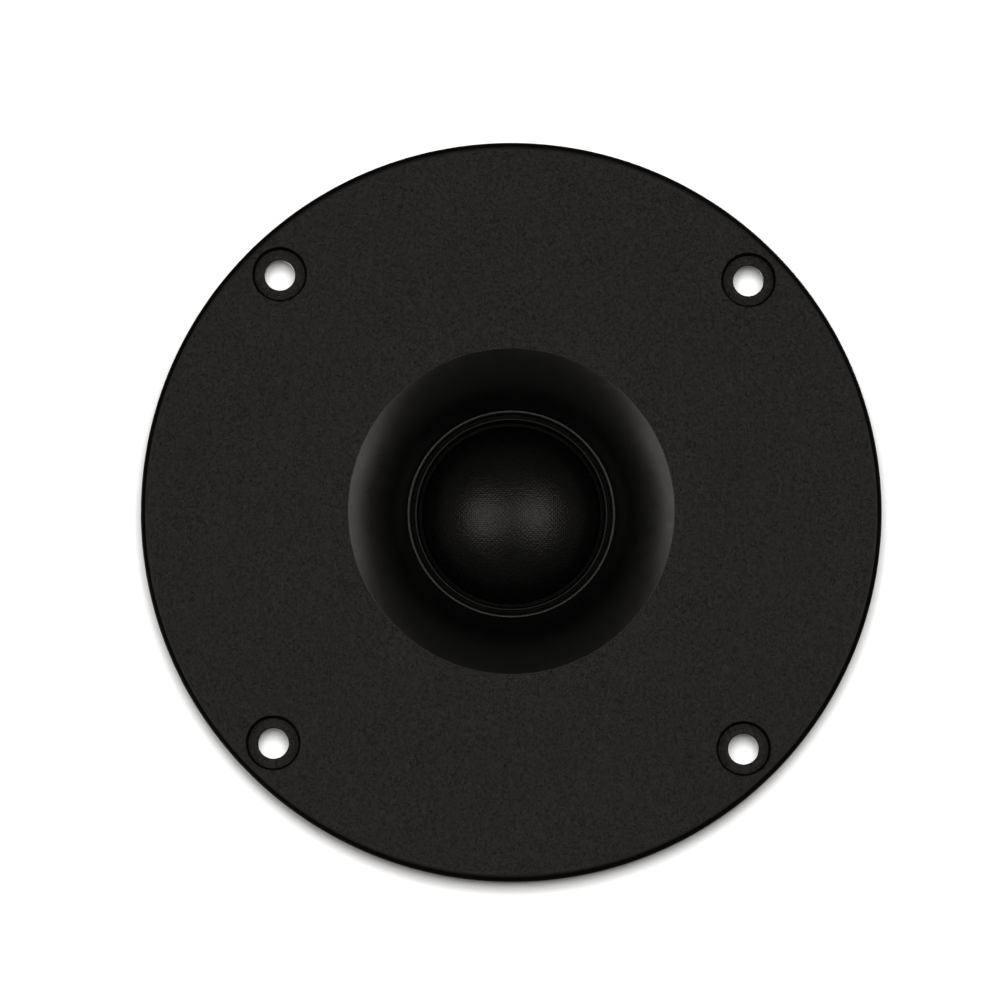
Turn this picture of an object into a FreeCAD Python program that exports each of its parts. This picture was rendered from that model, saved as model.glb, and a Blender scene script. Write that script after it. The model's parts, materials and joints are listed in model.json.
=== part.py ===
import FreeCAD, Part
import math
import os
import Sketcher

# Flanged 25 mm soft-dome tweeter, in millimetres.
# +Z is the acoustic axis, out of the front. The origin is on that axis, in the plane where the
# flange's rear rim rests on a baffle. The terminals lie towards -Y.

V = FreeCAD.Vector

# Driving dimensions: alias, value in millimetres (degrees for an angle, plain for a count)
DIMENSIONS = {
    # flange and its fixing holes
    "flange_r": 52.0,
    "face_z": 4.5,
    "edge_round": 0.7,
    "hole_circle_r": 46.6,
    "hole_count": 4,
    "hole_r": 2.15,
    "counterbore_r": 3.75,
    "counterbore_depth": 1.5,
    "hole_boss_r": 4.6,
    # horn
    "mouth_r": 23.0,
    "throat_r": 14.2,
    "throat_land": 0.5,
    "throat_z": -2.1,
    "horn_bend_r": 18.6,
    # rear of the flange
    "rim_inner_r": 50.4,
    "recess_inner_r": 42.6,
    "recess_depth": 2.2,
    "rib_count": 12,
    "rib_width": 1.2,
    "rib_root": 0.2,
    "groove_outer_r": 41.8,
    "groove_inner_r": 39.2,
    "groove_depth": 0.8,
    "gasket_play": 0.1,
    "gasket_proud": 0.8,
    "gasket_round": 0.3,
    # rear boss that fits the baffle's cut-out
    "boss_r": 38.0,
    "boss_chamfer": 0.5,
    "core_outer_r": 35.0,
    "core_inner_r": 22.5,
    "core_top_z": 1.8,
    "core_rib_count": 6,
    "ring_seat_r": 18.6,
    "plate_play": 0.1,
    "channel_half_width": 6.0,
    "channel_depth": 1.0,
    # diaphragm
    "rim_z": -4.35,
    "skin": 0.25,
    "dome_r": 12.6,
    "dome_height": 6.8,
    "dome_skin": 0.3,
    "dome_flange_r": 12.85,
    "roll_inner_r": 13.0,
    "roll_outer_r": 15.9,
    "roll_height": 1.0,
    "surround_inner_r": 12.9,
    "surround_outer_r": 18.5,
    "clamp_inner_r": 16.0,
    # clamping ring's lip
    "lip_r": 13.3,
    "lip_land": 0.15,
    "lip_step": 0.25,
    "outer_land": 0.25,
    "lip_under_z": -2.75,
    "seal_thickness": 0.6,
    "lead_slot_width": 0.6,
    "lead_slot_depth": 0.4,
    # voice coil
    "former_inner_r": 12.7,
    "former_wall": 0.12,
    "former_length": 3.4,
    "winding_wall": 0.26,
    "winding_length": 2.2,
    "winding_below_plate": 0.4,
    "lead_r": 0.12,
    "lead_off": 0.15,
    "lead_gap": 0.05,
    "lead_bend_r": 0.4,
    "lead_x": 4.4,
    "lead_z": -4.98,
    # magnet system
    "plate_r": 36.5,
    "plate_thickness": 3.0,
    "plate_chamfer": 0.3,
    "gap_outer_r": 13.4,
    "magnet_r": 30.0,
    "magnet_bore_r": 16.0,
    "magnet_length": 10.0,
    "magnet_chamfer": 0.8,
    "yoke_r": 28.0,
    "yoke_thickness": 3.5,
    "yoke_chamfer": 0.9,
    "pole_r": 12.25,
    "pole_root_r": 1.2,
    "dimple_r": 11.0,
    "dimple_depth": 0.6,
    "cap_wall": 0.15,
    "cap_length": 4.2,
    "felt_r": 9.0,
    "felt_thickness": 1.6,
    "felt_round": 0.5,
    "ring_felt_inner_r": 13.8,
    "ring_felt_outer_r": 15.7,
    "ring_felt_thickness": 3.0,
    # faceplate screws
    "screw_circle_r": 33.3,
    "screw_r": 1.25,
    "screw_length": 8.0,
    "screw_tip": 0.4,
    "screw_head_r": 2.75,
    "screw_head_height": 1.9,
    "screw_head_round": 0.9,
    "drive_depth": 1.1,
    "drive_length": 2.9,
    "drive_width": 0.7,
    "pilot_r": 1.3,
    "pilot_spare": 0.6,
    "screw_boss_r": 3.2,
    "screw_clearance_r": 1.7,
    # terminals
    "block_inner_r": 30.6,
    "block_outer_r": 36.2,
    "block_half_angle": 24.5,
    "block_thickness": 1.6,
    "neck_inner_r": 31.6,
    "neck_outer_r": 35.6,
    "neck_half_angle": 17.0,
    "neck_sunk": 0.9,
    "window_play": 0.1,
    "window_play_angle": 0.3,
    "pedestal_height": 1.8,
    "pedestal_wall": 1.1,
    "tab_near_y": 33.1,
    "tab_thickness": 0.8,
    "tab_front_z": -3.6,
    "tab_rear_z": -18.4,
    "tab_tip": 0.9,
    "tab_x": 5.2,
    "wide_tab": 4.8,
    "narrow_tab": 2.8,
    "tab_hole_r": 0.7,
    "tab_hole_inset": 2.2,
    "solder_foot_r": 0.85,
    "solder_top_r": 0.3,
    "solder_height": 0.6,
    "rivet_circle_r": 32.6,
    "rivet_angle": 21.0,
    "rivet_r": 1.1,
    "rivet_head_r": 1.9,
    "rivet_head_height": 0.65,
}

# Places worked out from the driving dimensions
THROAT_TOP_Z = "(dims.throat_z + dims.throat_land)"
RIM_UNDER_Z = "(dims.rim_z - dims.skin)"
PLATE_Z = "(dims.rim_z - dims.skin - dims.seal_thickness)"
PLATE_REAR_Z = f"({PLATE_Z} - dims.plate_thickness)"
MAGNET_REAR_Z = f"({PLATE_REAR_Z} - dims.magnet_length)"
YOKE_REAR_Z = f"({MAGNET_REAR_Z} - dims.yoke_thickness)"
POLE_Z = f"({PLATE_Z} - dims.cap_wall)"
CAP_R = "(dims.pole_r + dims.cap_wall)"
BLOCK_REAR_Z = f"({PLATE_REAR_Z} - dims.block_thickness)"
PEDESTAL_Z = f"({BLOCK_REAR_Z} - dims.pedestal_height)"
NECK_Z = f"({PLATE_Z} - dims.neck_sunk)"
WINDING_TOP_Z = f"({PLATE_Z} - dims.winding_below_plate)"
WINDING_INNER_R = "(dims.former_inner_r + dims.former_wall)"
LEAD_START_R = f"({WINDING_INNER_R} + dims.lead_off)"
HALF_RIB = "(dims.rib_width / 2)"
RIVET_X = "(dims.rivet_circle_r * sin(dims.rivet_angle))"
RIVET_Y = "(-dims.rivet_circle_r * cos(dims.rivet_angle))"

# Terminal tabs: node, middle in X, width
TABS = (
    ("terminal_positive", "-dims.tab_x", "dims.wide_tab"),
    ("terminal_negative", "dims.tab_x", "dims.narrow_tab"),
)

doc = FreeCAD.newDocument("car_tweeter")
dims = doc.addObject("Spreadsheet::Sheet", "dims")
for row, (alias, number) in enumerate(DIMENSIONS.items(), start=1):
    dims.set(f"A{row}", alias)
    dims.set(f"B{row}", str(number))
    dims.setAlias(f"B{row}", alias)
doc.recompute()

subparts = []


# ---------------------------------------------------------------- helpers


def value(expression):
    """The number that an expression of the sheet's cells gives."""
    return float(dims.evalExpression(expression))


def new_body(node):
    body = doc.addObject("PartDesign::Body", node)
    body.Label = node
    subparts.append(body)
    return body


def origin_feature(body, role):
    return next(f for f in body.Origin.OriginFeatures if f.Role == role)


def new_sketch(body, name, plane, offset="0"):
    """An empty sketch on an origin plane of the body, moved along the plane's normal."""
    sketch = body.newObject("Sketcher::SketchObject", name)
    sketch.AttachmentSupport = [(origin_feature(body, plane), "")]
    sketch.MapMode = "FlatFace"
    sketch.setExpression("AttachmentOffset.Base.z", offset)
    return sketch


def bind(sketch, kind, *where, to):
    """Add a constraint whose value follows an expression."""
    number = sketch.addConstraint(Sketcher.Constraint(kind, *where, value(to)))
    sketch.setExpression(f"Constraints[{number}]", to)


def arc_between(a, b, radius, turn):
    """The short arc from a to b, anticlockwise for turn 1 and clockwise for turn -1."""
    along = b - a
    to_left = V(-along.y, along.x, 0).normalize()
    sagitta_arm = math.sqrt(radius**2 - (along.Length / 2) ** 2)
    centre = (a + b) * 0.5 + to_left * (turn * sagitta_arm)
    first, last = (a, b) if turn > 0 else (b, a)
    angles = [math.atan2(p.y - centre.y, p.x - centre.x) for p in (first, last)]
    return Part.ArcOfCircle(Part.Circle(centre, V(0, 0, 1), radius), *angles)


def draw_path(sketch, corners, closed):
    """Draw sides through corners (x, y) or (x, y, arc radius to the next corner, turn)."""
    start, end = 1, 2
    places = [V(value(corner[0]), value(corner[1]), 0) for corner in corners]
    sides = len(corners) if closed else len(corners) - 1
    first_of, last_of, numbers = {}, {}, {}
    for i in range(sides):
        a, b = places[i], places[(i + 1) % len(places)]
        if len(corners[i]) == 2:
            numbers[i] = sketch.addGeometry(Part.LineSegment(a, b), False)
            first_of[i], last_of[i] = start, end
            continue
        radius, turn = corners[i][2:]
        numbers[i] = sketch.addGeometry(arc_between(a, b, value(radius), turn), False)
        first_of[i], last_of[i] = (start, end) if turn > 0 else (end, start)
    for i in range(sides if closed else sides - 1):
        j = (i + 1) % sides
        sketch.addConstraint(
            Sketcher.Constraint("Coincident", numbers[i], last_of[i], numbers[j], first_of[j])
        )
    for i, corner in enumerate(corners):
        side, vertex = (i, first_of[i]) if i < sides else (i - 1, last_of[i - 1])
        bind(sketch, "DistanceX", -1, 1, numbers[side], vertex, to=corner[0])
        bind(sketch, "DistanceY", -1, 1, numbers[side], vertex, to=corner[1])
    for i in range(sides):
        if len(corners[i]) == 4:
            bind(sketch, "Radius", numbers[i], to=corners[i][2])


def draw_circle(sketch, x, y, radius):
    shape = Part.Circle(V(value(x), value(y), 0), V(0, 0, 1), value(radius))
    number = sketch.addGeometry(shape, False)
    centre = 3
    bind(sketch, "DistanceX", -1, 1, number, centre, to=x)
    bind(sketch, "DistanceY", -1, 1, number, centre, to=y)
    bind(sketch, "Radius", number, to=radius)


def rectangle(x0, x1, y0, y1):
    return [(x0, y0), (x1, y0), (x1, y1), (x0, y1)]


def sector(inner, outer, half_angle):
    """The corners of a part of a ring, centred on -Y."""
    side, down = f"sin({half_angle})", f"cos({half_angle})"
    return [
        (f"-{outer} * {side}", f"-{outer} * {down}", outer, 1),
        (f"{outer} * {side}", f"-{outer} * {down}"),
        (f"{inner} * {side}", f"-{inner} * {down}", inner, -1),
        (f"-{inner} * {side}", f"-{inner} * {down}"),
    ]


def on_circle(radius, angle):
    """The x and y of a point at a radius, an angle from +X."""
    return f"{radius} * cos({angle})", f"{radius} * sin({angle})"


def revolve(body, name, corners):
    """Turn a closed outline of (radius, z) corners about the Z axis."""
    sketch = new_sketch(body, f"{name}_profile", "XZ_Plane")
    draw_path(sketch, corners, closed=True)
    feature = body.newObject("PartDesign::Revolution", name)
    feature.Profile = sketch
    feature.ReferenceAxis = (sketch, ["V_Axis"])
    feature.Angle = 360


def revolve_beside(body, name, x, y, corners):
    """Turn a closed outline of (radius, z) corners about an upright axis through x and y."""
    sketch = new_sketch(body, f"{name}_profile", "XZ_Plane", f"-{y}")
    moved = [(f"{x} + {corner[0]}", *corner[1:]) for corner in corners]
    draw_path(sketch, moved, closed=True)
    axis_x = value(x)
    axis = Part.LineSegment(V(axis_x, 0, 0), V(axis_x, 1, 0))
    number = sketch.addGeometry(axis, True)
    sketch.addConstraint(Sketcher.Constraint("Vertical", number))
    bind(sketch, "DistanceX", -1, 1, number, 1, to=x)
    feature = body.newObject("PartDesign::Revolution", name)
    feature.Profile = sketch
    feature.ReferenceAxis = (sketch, ["Axis0"])
    feature.Angle = 360
    doc.recompute()
    return feature


def extrude(body, name, sketch, length, kind="Pad"):
    """Pad a sketch along its normal, or pocket it against its normal."""
    feature = body.newObject(f"PartDesign::{kind}", name)
    feature.Profile = sketch
    feature.setExpression("Length", length)
    doc.recompute()
    return feature


def prism(body, name, corners, low, high, kind="Pad"):
    """Pad, or pocket, an outline in X and Y between two heights."""
    floor = low if kind == "Pad" else high
    sketch = new_sketch(body, f"{name}_outline", "XY_Plane", floor)
    draw_path(sketch, corners, closed=True)
    return extrude(body, name, sketch, f"{high} - {low}", kind)


def disc(body, name, x, y, radius, low, high, kind="Pad"):
    """Pad, or pocket, a circle in X and Y between two heights."""
    floor = low if kind == "Pad" else high
    sketch = new_sketch(body, f"{name}_circle", "XY_Plane", floor)
    draw_circle(sketch, x, y, radius)
    return extrude(body, name, sketch, f"{high} - {low}", kind)


def repeat_round(body, feature, count):
    """Repeat a feature evenly about the Z axis."""
    pattern = body.newObject("PartDesign::PolarPattern", f"{feature.Name}_pattern")
    pattern.Originals = [feature]
    pattern.Axis = (origin_feature(body, "Z_Axis"), [""])
    pattern.Angle = 360
    pattern.setExpression("Occurrences", count)
    body.Tip = pattern
    doc.recompute()
    return pattern


def mirror_across_x(body, feature):
    """Repeat a feature on the other side of the YZ plane."""
    mirrored = body.newObject("PartDesign::Mirrored", f"{feature.Name}_mirror")
    mirrored.Originals = [feature]
    mirrored.MirrorPlane = (origin_feature(body, "YZ_Plane"), [""])
    body.Tip = mirrored
    doc.recompute()
    return mirrored


# ---------------------------------------------------------------- faceplate and its gasket


def make_faceplate():
    body = new_body("faceplate")
    revolve(
        body,
        "plate_shell",
        [
            ("dims.mouth_r", "dims.face_z"),
            ("dims.flange_r - dims.edge_round", "dims.face_z", "dims.edge_round", -1),
            ("dims.flange_r", "dims.face_z - dims.edge_round"),
            ("dims.flange_r", "0"),
            ("dims.rim_inner_r", "0"),
            ("dims.rim_inner_r", "dims.recess_depth"),
            ("dims.recess_inner_r", "dims.recess_depth"),
            ("dims.recess_inner_r", "0"),
            ("dims.groove_outer_r", "0"),
            ("dims.groove_outer_r", "dims.groove_depth"),
            ("dims.groove_inner_r", "dims.groove_depth"),
            ("dims.groove_inner_r", "0"),
            ("dims.boss_r", "0"),
            ("dims.boss_r", f"{PLATE_REAR_Z} + dims.boss_chamfer"),
            ("dims.boss_r - dims.boss_chamfer", PLATE_REAR_Z),
            ("dims.plate_r + dims.plate_play", PLATE_REAR_Z),
            ("dims.plate_r + dims.plate_play", PLATE_Z),
            ("dims.core_outer_r", PLATE_Z),
            ("dims.core_outer_r", "dims.core_top_z"),
            ("dims.core_inner_r", "dims.core_top_z"),
            ("dims.core_inner_r", PLATE_Z),
            ("dims.ring_seat_r", PLATE_Z),
            ("dims.ring_seat_r", "dims.throat_z"),
            ("dims.throat_r", "dims.throat_z"),
            ("dims.throat_r", THROAT_TOP_Z, "dims.horn_bend_r", -1),
        ],
    )
    rib = prism(
        body,
        "flange_rib",
        rectangle(
            "dims.recess_inner_r - dims.rib_root",
            "dims.rim_inner_r + dims.rib_root",
            f"-{HALF_RIB}",
            HALF_RIB,
        ),
        "0",
        "(dims.recess_depth + dims.rib_root)",
    )
    repeat_round(body, rib, "dims.rib_count")
    hole_x, hole_y = on_circle("dims.hole_circle_r", "180 / dims.hole_count")
    boss = disc(
        body,
        "hole_boss",
        hole_x,
        hole_y,
        "dims.hole_boss_r",
        "0",
        "(dims.recess_depth + dims.rib_root)",
    )
    repeat_round(body, boss, "dims.hole_count")
    inner_rib = prism(
        body,
        "core_rib",
        rectangle(
            "dims.core_inner_r - dims.rib_root",
            "dims.core_outer_r + dims.rib_root",
            f"-{HALF_RIB}",
            HALF_RIB,
        ),
        PLATE_Z,
        "(dims.core_top_z + dims.rib_root)",
    )
    repeat_round(body, inner_rib, "dims.core_rib_count")
    screw_x, screw_y = on_circle("dims.screw_circle_r", "180 / dims.hole_count")
    screw_boss = disc(
        body,
        "screw_boss",
        screw_x,
        screw_y,
        "dims.screw_boss_r",
        PLATE_Z,
        "(dims.core_top_z + dims.rib_root)",
    )
    repeat_round(body, screw_boss, "dims.hole_count")
    pilot_top = f"({PLATE_REAR_Z} + dims.screw_length + dims.pilot_spare)"
    pilot = disc(
        body, "screw_pilot", screw_x, screw_y, "dims.pilot_r", PLATE_Z, pilot_top, "Pocket"
    )
    repeat_round(body, pilot, "dims.hole_count")
    prism(
        body,
        "lead_channel",
        rectangle(
            "-dims.channel_half_width",
            "dims.channel_half_width",
            "-dims.core_inner_r - dims.rib_root",
            "-dims.clamp_inner_r",
        ),
        PLATE_Z,
        f"({PLATE_Z} + dims.channel_depth)",
        "Pocket",
    )
    fixing = new_sketch(body, "fixing_hole_centre", "XY_Plane", "dims.face_z")
    draw_circle(fixing, hole_x, hole_y, "dims.hole_r")
    doc.recompute()
    hole = body.newObject("PartDesign::Hole", "fixing_hole")
    hole.Profile = fixing
    hole.ThreadType = "None"
    hole.DepthType = "ThroughAll"
    hole.HoleCutType = "Counterbore"
    hole.HoleCutCustomValues = True
    hole.setExpression("Diameter", "dims.hole_r * 2")
    hole.setExpression("HoleCutDiameter", "dims.counterbore_r * 2")
    hole.setExpression("HoleCutDepth", "dims.counterbore_depth")
    doc.recompute()
    repeat_round(body, hole, "dims.hole_count")


def make_flange_gasket():
    inner = "dims.groove_inner_r + dims.gasket_play"
    outer = "dims.groove_outer_r - dims.gasket_play"
    revolve(
        new_body("flange_gasket"),
        "gasket_ring",
        [
            (inner, "dims.groove_depth"),
            (inner, "-dims.gasket_proud + dims.gasket_round", "dims.gasket_round", 1),
            (f"{inner} + dims.gasket_round", "-dims.gasket_proud"),
            (f"{outer} - dims.gasket_round", "-dims.gasket_proud", "dims.gasket_round", 1),
            (outer, "-dims.gasket_proud + dims.gasket_round"),
            (outer, "dims.groove_depth"),
        ],
    )


# ---------------------------------------------------------------- diaphragm


def make_diaphragm_ring():
    outer_land_r = "dims.throat_r - dims.outer_land"
    inner_land_r = "dims.lip_r + dims.lip_land"
    inner_land_z = "dims.throat_z - dims.lip_step"
    revolve(
        new_body("diaphragm_ring"),
        "clamp_ring",
        [
            ("dims.surround_outer_r", "dims.rim_z"),
            ("dims.surround_outer_r", "dims.throat_z"),
            (outer_land_r, "dims.throat_z"),
            (inner_land_r, inner_land_z),
            ("dims.lip_r", inner_land_z),
            ("dims.lip_r", "dims.lip_under_z"),
            ("dims.clamp_inner_r", "dims.lip_under_z"),
            ("dims.clamp_inner_r", "dims.rim_z"),
        ],
    )


def make_diaphragm_seal():
    body = new_body("diaphragm_seal")
    revolve(
        body,
        "seal_ring",
        [
            ("dims.clamp_inner_r", PLATE_Z),
            ("dims.surround_outer_r", PLATE_Z),
            ("dims.surround_outer_r", RIM_UNDER_Z),
            ("dims.clamp_inner_r", RIM_UNDER_Z),
        ],
    )
    slot = prism(
        body,
        "lead_slot",
        rectangle(
            "dims.lead_x - dims.lead_slot_width / 2",
            "dims.lead_x + dims.lead_slot_width / 2",
            "-dims.surround_outer_r - dims.lead_slot_width",
            "0",
        ),
        PLATE_Z,
        f"({PLATE_Z} + dims.lead_slot_depth)",
        "Pocket",
    )
    mirror_across_x(body, slot)


def make_surround():
    half_roll = "((dims.roll_outer_r - dims.roll_inner_r) / 2)"
    middle = "((dims.roll_outer_r + dims.roll_inner_r) / 2)"
    bend = f"(({half_roll}^2 + dims.roll_height^2) / (2 * dims.roll_height))"
    under_bend = f"({bend} - dims.skin)"
    half_under = f"sqrt({under_bend}^2 - ({under_bend} - dims.roll_height)^2)"
    revolve(
        new_body("surround"),
        "half_roll",
        [
            ("dims.surround_outer_r", RIM_UNDER_Z),
            ("dims.surround_outer_r", "dims.rim_z"),
            ("dims.roll_outer_r", "dims.rim_z", bend, 1),
            ("dims.roll_inner_r", "dims.rim_z"),
            ("dims.surround_inner_r", "dims.rim_z"),
            ("dims.surround_inner_r", RIM_UNDER_Z),
            (f"{middle} - {half_under}", RIM_UNDER_Z, under_bend, -1),
            (f"{middle} + {half_under}", RIM_UNDER_Z),
        ],
    )


def make_dome():
    sphere = "((dims.dome_r^2 + dims.dome_height^2) / (2 * dims.dome_height))"
    under_sphere = f"({sphere} - dims.dome_skin)"
    top_z = "(dims.rim_z + dims.dome_height)"
    centre_to_rim = f"({sphere} - dims.dome_height - dims.skin)"
    revolve(
        new_body("dome"),
        "dome_skin_shell",
        [
            ("dims.dome_flange_r", RIM_UNDER_Z),
            ("dims.dome_flange_r", "dims.rim_z"),
            ("dims.dome_r", "dims.rim_z", sphere, 1),
            ("0", top_z),
            ("0", f"{top_z} - dims.dome_skin", under_sphere, -1),
            (f"sqrt({under_sphere}^2 - {centre_to_rim}^2)", RIM_UNDER_Z),
        ],
    )


def make_tube(node, inner, outer, low, high):
    """A plain tube on the Z axis."""
    corners = [(inner, low), (outer, low), (outer, high), (inner, high)]
    revolve(new_body(node), f"{node}_wall", corners)


def make_coil():
    make_tube(
        "coil_former",
        "dims.former_inner_r",
        WINDING_INNER_R,
        f"({RIM_UNDER_Z} - dims.former_length)",
        RIM_UNDER_Z,
    )
    make_tube(
        "voice_coil",
        WINDING_INNER_R,
        f"({WINDING_INNER_R} + dims.winding_wall)",
        f"({WINDING_TOP_Z} - dims.winding_length)",
        WINDING_TOP_Z,
    )


def make_lead(node, side):
    """A coil lead: up beside the former, round a bend, then straight out to its solder joint."""
    body = new_body(node)
    start_y = f"(-sqrt({LEAD_START_R}^2 - dims.lead_x^2))"
    start_z = f"({WINDING_TOP_Z} + dims.lead_gap)"
    end_y = "(-dims.tab_near_y + dims.solder_height)"
    route = new_sketch(body, f"{node}_route", "YZ_Plane")
    corners = [
        (start_y, start_z),
        (start_y, "dims.lead_z - dims.lead_bend_r", "dims.lead_bend_r", 1),
        (f"{start_y} - dims.lead_bend_r", "dims.lead_z"),
        (end_y, "dims.lead_z"),
    ]
    draw_path(route, corners, closed=False)
    wire = new_sketch(body, f"{node}_wire", "XY_Plane", start_z)
    draw_circle(wire, "0", start_y, "dims.lead_r")
    doc.recompute()
    pipe = body.newObject("PartDesign::AdditivePipe", f"{node}_pipe")
    pipe.Profile = wire
    pipe.Spine = route
    body.setExpression("Placement.Base.x", f"{side} * dims.lead_x")


# ---------------------------------------------------------------- magnet system


def make_top_plate():
    body = new_body("top_plate")
    revolve(
        body,
        "plate_disc",
        [
            ("dims.gap_outer_r", PLATE_REAR_Z),
            ("dims.plate_r - dims.plate_chamfer", PLATE_REAR_Z),
            ("dims.plate_r", f"{PLATE_REAR_Z} + dims.plate_chamfer"),
            ("dims.plate_r", f"{PLATE_Z} - dims.plate_chamfer"),
            ("dims.plate_r - dims.plate_chamfer", PLATE_Z),
            ("dims.gap_outer_r", PLATE_Z),
        ],
    )
    prism(
        body,
        "terminal_window",
        sector(
            "(dims.neck_inner_r - dims.window_play)",
            "(dims.neck_outer_r + dims.window_play)",
            "(dims.neck_half_angle + dims.window_play_angle)",
        ),
        PLATE_REAR_Z,
        PLATE_Z,
        "Pocket",
    )
    screw_x, screw_y = on_circle("dims.screw_circle_r", "180 / dims.hole_count")
    hole = disc(
        body,
        "screw_clearance",
        screw_x,
        screw_y,
        "dims.screw_clearance_r",
        PLATE_REAR_Z,
        PLATE_Z,
        "Pocket",
    )
    repeat_round(body, hole, "dims.hole_count")
    rivet_hole = disc(
        body, "plate_rivet_hole", RIVET_X, RIVET_Y, "dims.rivet_r", PLATE_REAR_Z, PLATE_Z, "Pocket"
    )
    mirror_across_x(body, rivet_hole)


def make_magnet():
    chamfer = "dims.magnet_chamfer"
    revolve(
        new_body("magnet"),
        "ferrite_ring",
        [
            ("dims.magnet_bore_r", MAGNET_REAR_Z),
            (f"dims.magnet_r - {chamfer}", MAGNET_REAR_Z),
            ("dims.magnet_r", f"{MAGNET_REAR_Z} + {chamfer}"),
            ("dims.magnet_r", f"{PLATE_REAR_Z} - {chamfer}"),
            (f"dims.magnet_r - {chamfer}", PLATE_REAR_Z),
            ("dims.magnet_bore_r", PLATE_REAR_Z),
        ],
    )


def make_yoke():
    root = "dims.pole_root_r"
    revolve(
        new_body("yoke"),
        "plate_and_pole",
        [
            ("0", f"{YOKE_REAR_Z} + dims.dimple_depth"),
            ("dims.dimple_r - dims.dimple_depth", f"{YOKE_REAR_Z} + dims.dimple_depth"),
            ("dims.dimple_r", YOKE_REAR_Z),
            ("dims.yoke_r - dims.yoke_chamfer", YOKE_REAR_Z),
            ("dims.yoke_r", f"{YOKE_REAR_Z} + dims.yoke_chamfer"),
            ("dims.yoke_r", MAGNET_REAR_Z),
            (f"dims.pole_r + {root}", MAGNET_REAR_Z, root, -1),
            ("dims.pole_r", f"{MAGNET_REAR_Z} + {root}"),
            ("dims.pole_r", POLE_Z),
            ("0", POLE_Z),
        ],
    )


def make_copper_cap():
    revolve(
        new_body("copper_cap"),
        "copper_cup",
        [
            ("0", POLE_Z),
            ("dims.pole_r", POLE_Z),
            ("dims.pole_r", f"{PLATE_Z} - dims.cap_length"),
            (CAP_R, f"{PLATE_Z} - dims.cap_length"),
            (CAP_R, PLATE_Z),
            ("0", PLATE_Z),
        ],
    )


def make_felts():
    felt_top_z = f"({PLATE_Z} + dims.felt_thickness)"
    revolve(
        new_body("dome_felt"),
        "felt_pad",
        [
            ("0", PLATE_Z),
            ("dims.felt_r", PLATE_Z),
            ("dims.felt_r", f"{felt_top_z} - dims.felt_round", "dims.felt_round", 1),
            ("dims.felt_r - dims.felt_round", felt_top_z),
            ("0", felt_top_z),
        ],
    )
    make_tube(
        "ring_felt",
        "dims.ring_felt_inner_r",
        "dims.ring_felt_outer_r",
        MAGNET_REAR_Z,
        f"({MAGNET_REAR_Z} + dims.ring_felt_thickness)",
    )


# ---------------------------------------------------------------- screws and terminals


def make_faceplate_screws():
    body = new_body("faceplate_screws")
    head_z = f"({PLATE_REAR_Z} - dims.screw_head_height)"
    tip_z = f"({PLATE_REAR_Z} + dims.screw_length)"
    screw_x, screw_y = on_circle("dims.screw_circle_r", "180 / dims.hole_count")
    screw = revolve_beside(
        body,
        "screw",
        screw_x,
        screw_y,
        [
            ("0", head_z),
            ("dims.screw_head_r - dims.screw_head_round", head_z, "dims.screw_head_round", 1),
            ("dims.screw_head_r", f"{head_z} + dims.screw_head_round"),
            ("dims.screw_head_r", PLATE_REAR_Z),
            ("dims.screw_r", PLATE_REAR_Z),
            ("dims.screw_r", f"{tip_z} - dims.screw_tip"),
            ("dims.screw_r - dims.screw_tip", tip_z),
            ("0", tip_z),
        ],
    )
    repeat_round(body, screw, "dims.hole_count")
    half_long, half_wide = "dims.drive_length / 2", "dims.drive_width / 2"
    for name, half_x, half_y in (
        ("drive_slot_x", half_long, half_wide),
        ("drive_slot_y", half_wide, half_long),
    ):
        slot = prism(
            body,
            name,
            rectangle(
                f"{screw_x} - {half_x}",
                f"{screw_x} + {half_x}",
                f"{screw_y} - {half_y}",
                f"{screw_y} + {half_y}",
            ),
            head_z,
            f"({head_z} + dims.drive_depth)",
            "Pocket",
        )
        repeat_round(body, slot, "dims.hole_count")


def make_terminal_block():
    body = new_body("terminal_block")
    prism(
        body,
        "block_flange",
        sector("dims.block_inner_r", "dims.block_outer_r", "dims.block_half_angle"),
        BLOCK_REAR_Z,
        PLATE_REAR_Z,
    )
    prism(
        body,
        "block_neck",
        sector("dims.neck_inner_r", "dims.neck_outer_r", "dims.neck_half_angle"),
        PLATE_REAR_Z,
        NECK_Z,
    )
    for name, middle_x, width in TABS:
        around = f"({width} / 2 + dims.pedestal_wall)"
        prism(
            body,
            f"{name}_pedestal",
            rectangle(
                f"{middle_x} - {around}",
                f"{middle_x} + {around}",
                "-dims.tab_near_y - dims.tab_thickness - dims.pedestal_wall",
                "-dims.tab_near_y + dims.pedestal_wall",
            ),
            PEDESTAL_Z,
            BLOCK_REAR_Z,
        )
        prism(
            body,
            f"{name}_slot",
            rectangle(
                f"{middle_x} - {width} / 2",
                f"{middle_x} + {width} / 2",
                "-dims.tab_near_y - dims.tab_thickness",
                "-dims.tab_near_y",
            ),
            PEDESTAL_Z,
            NECK_Z,
            "Pocket",
        )
    rivet_hole = disc(
        body,
        "block_rivet_hole",
        RIVET_X,
        RIVET_Y,
        "dims.rivet_r",
        BLOCK_REAR_Z,
        PLATE_REAR_Z,
        "Pocket",
    )
    mirror_across_x(body, rivet_hole)


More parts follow.
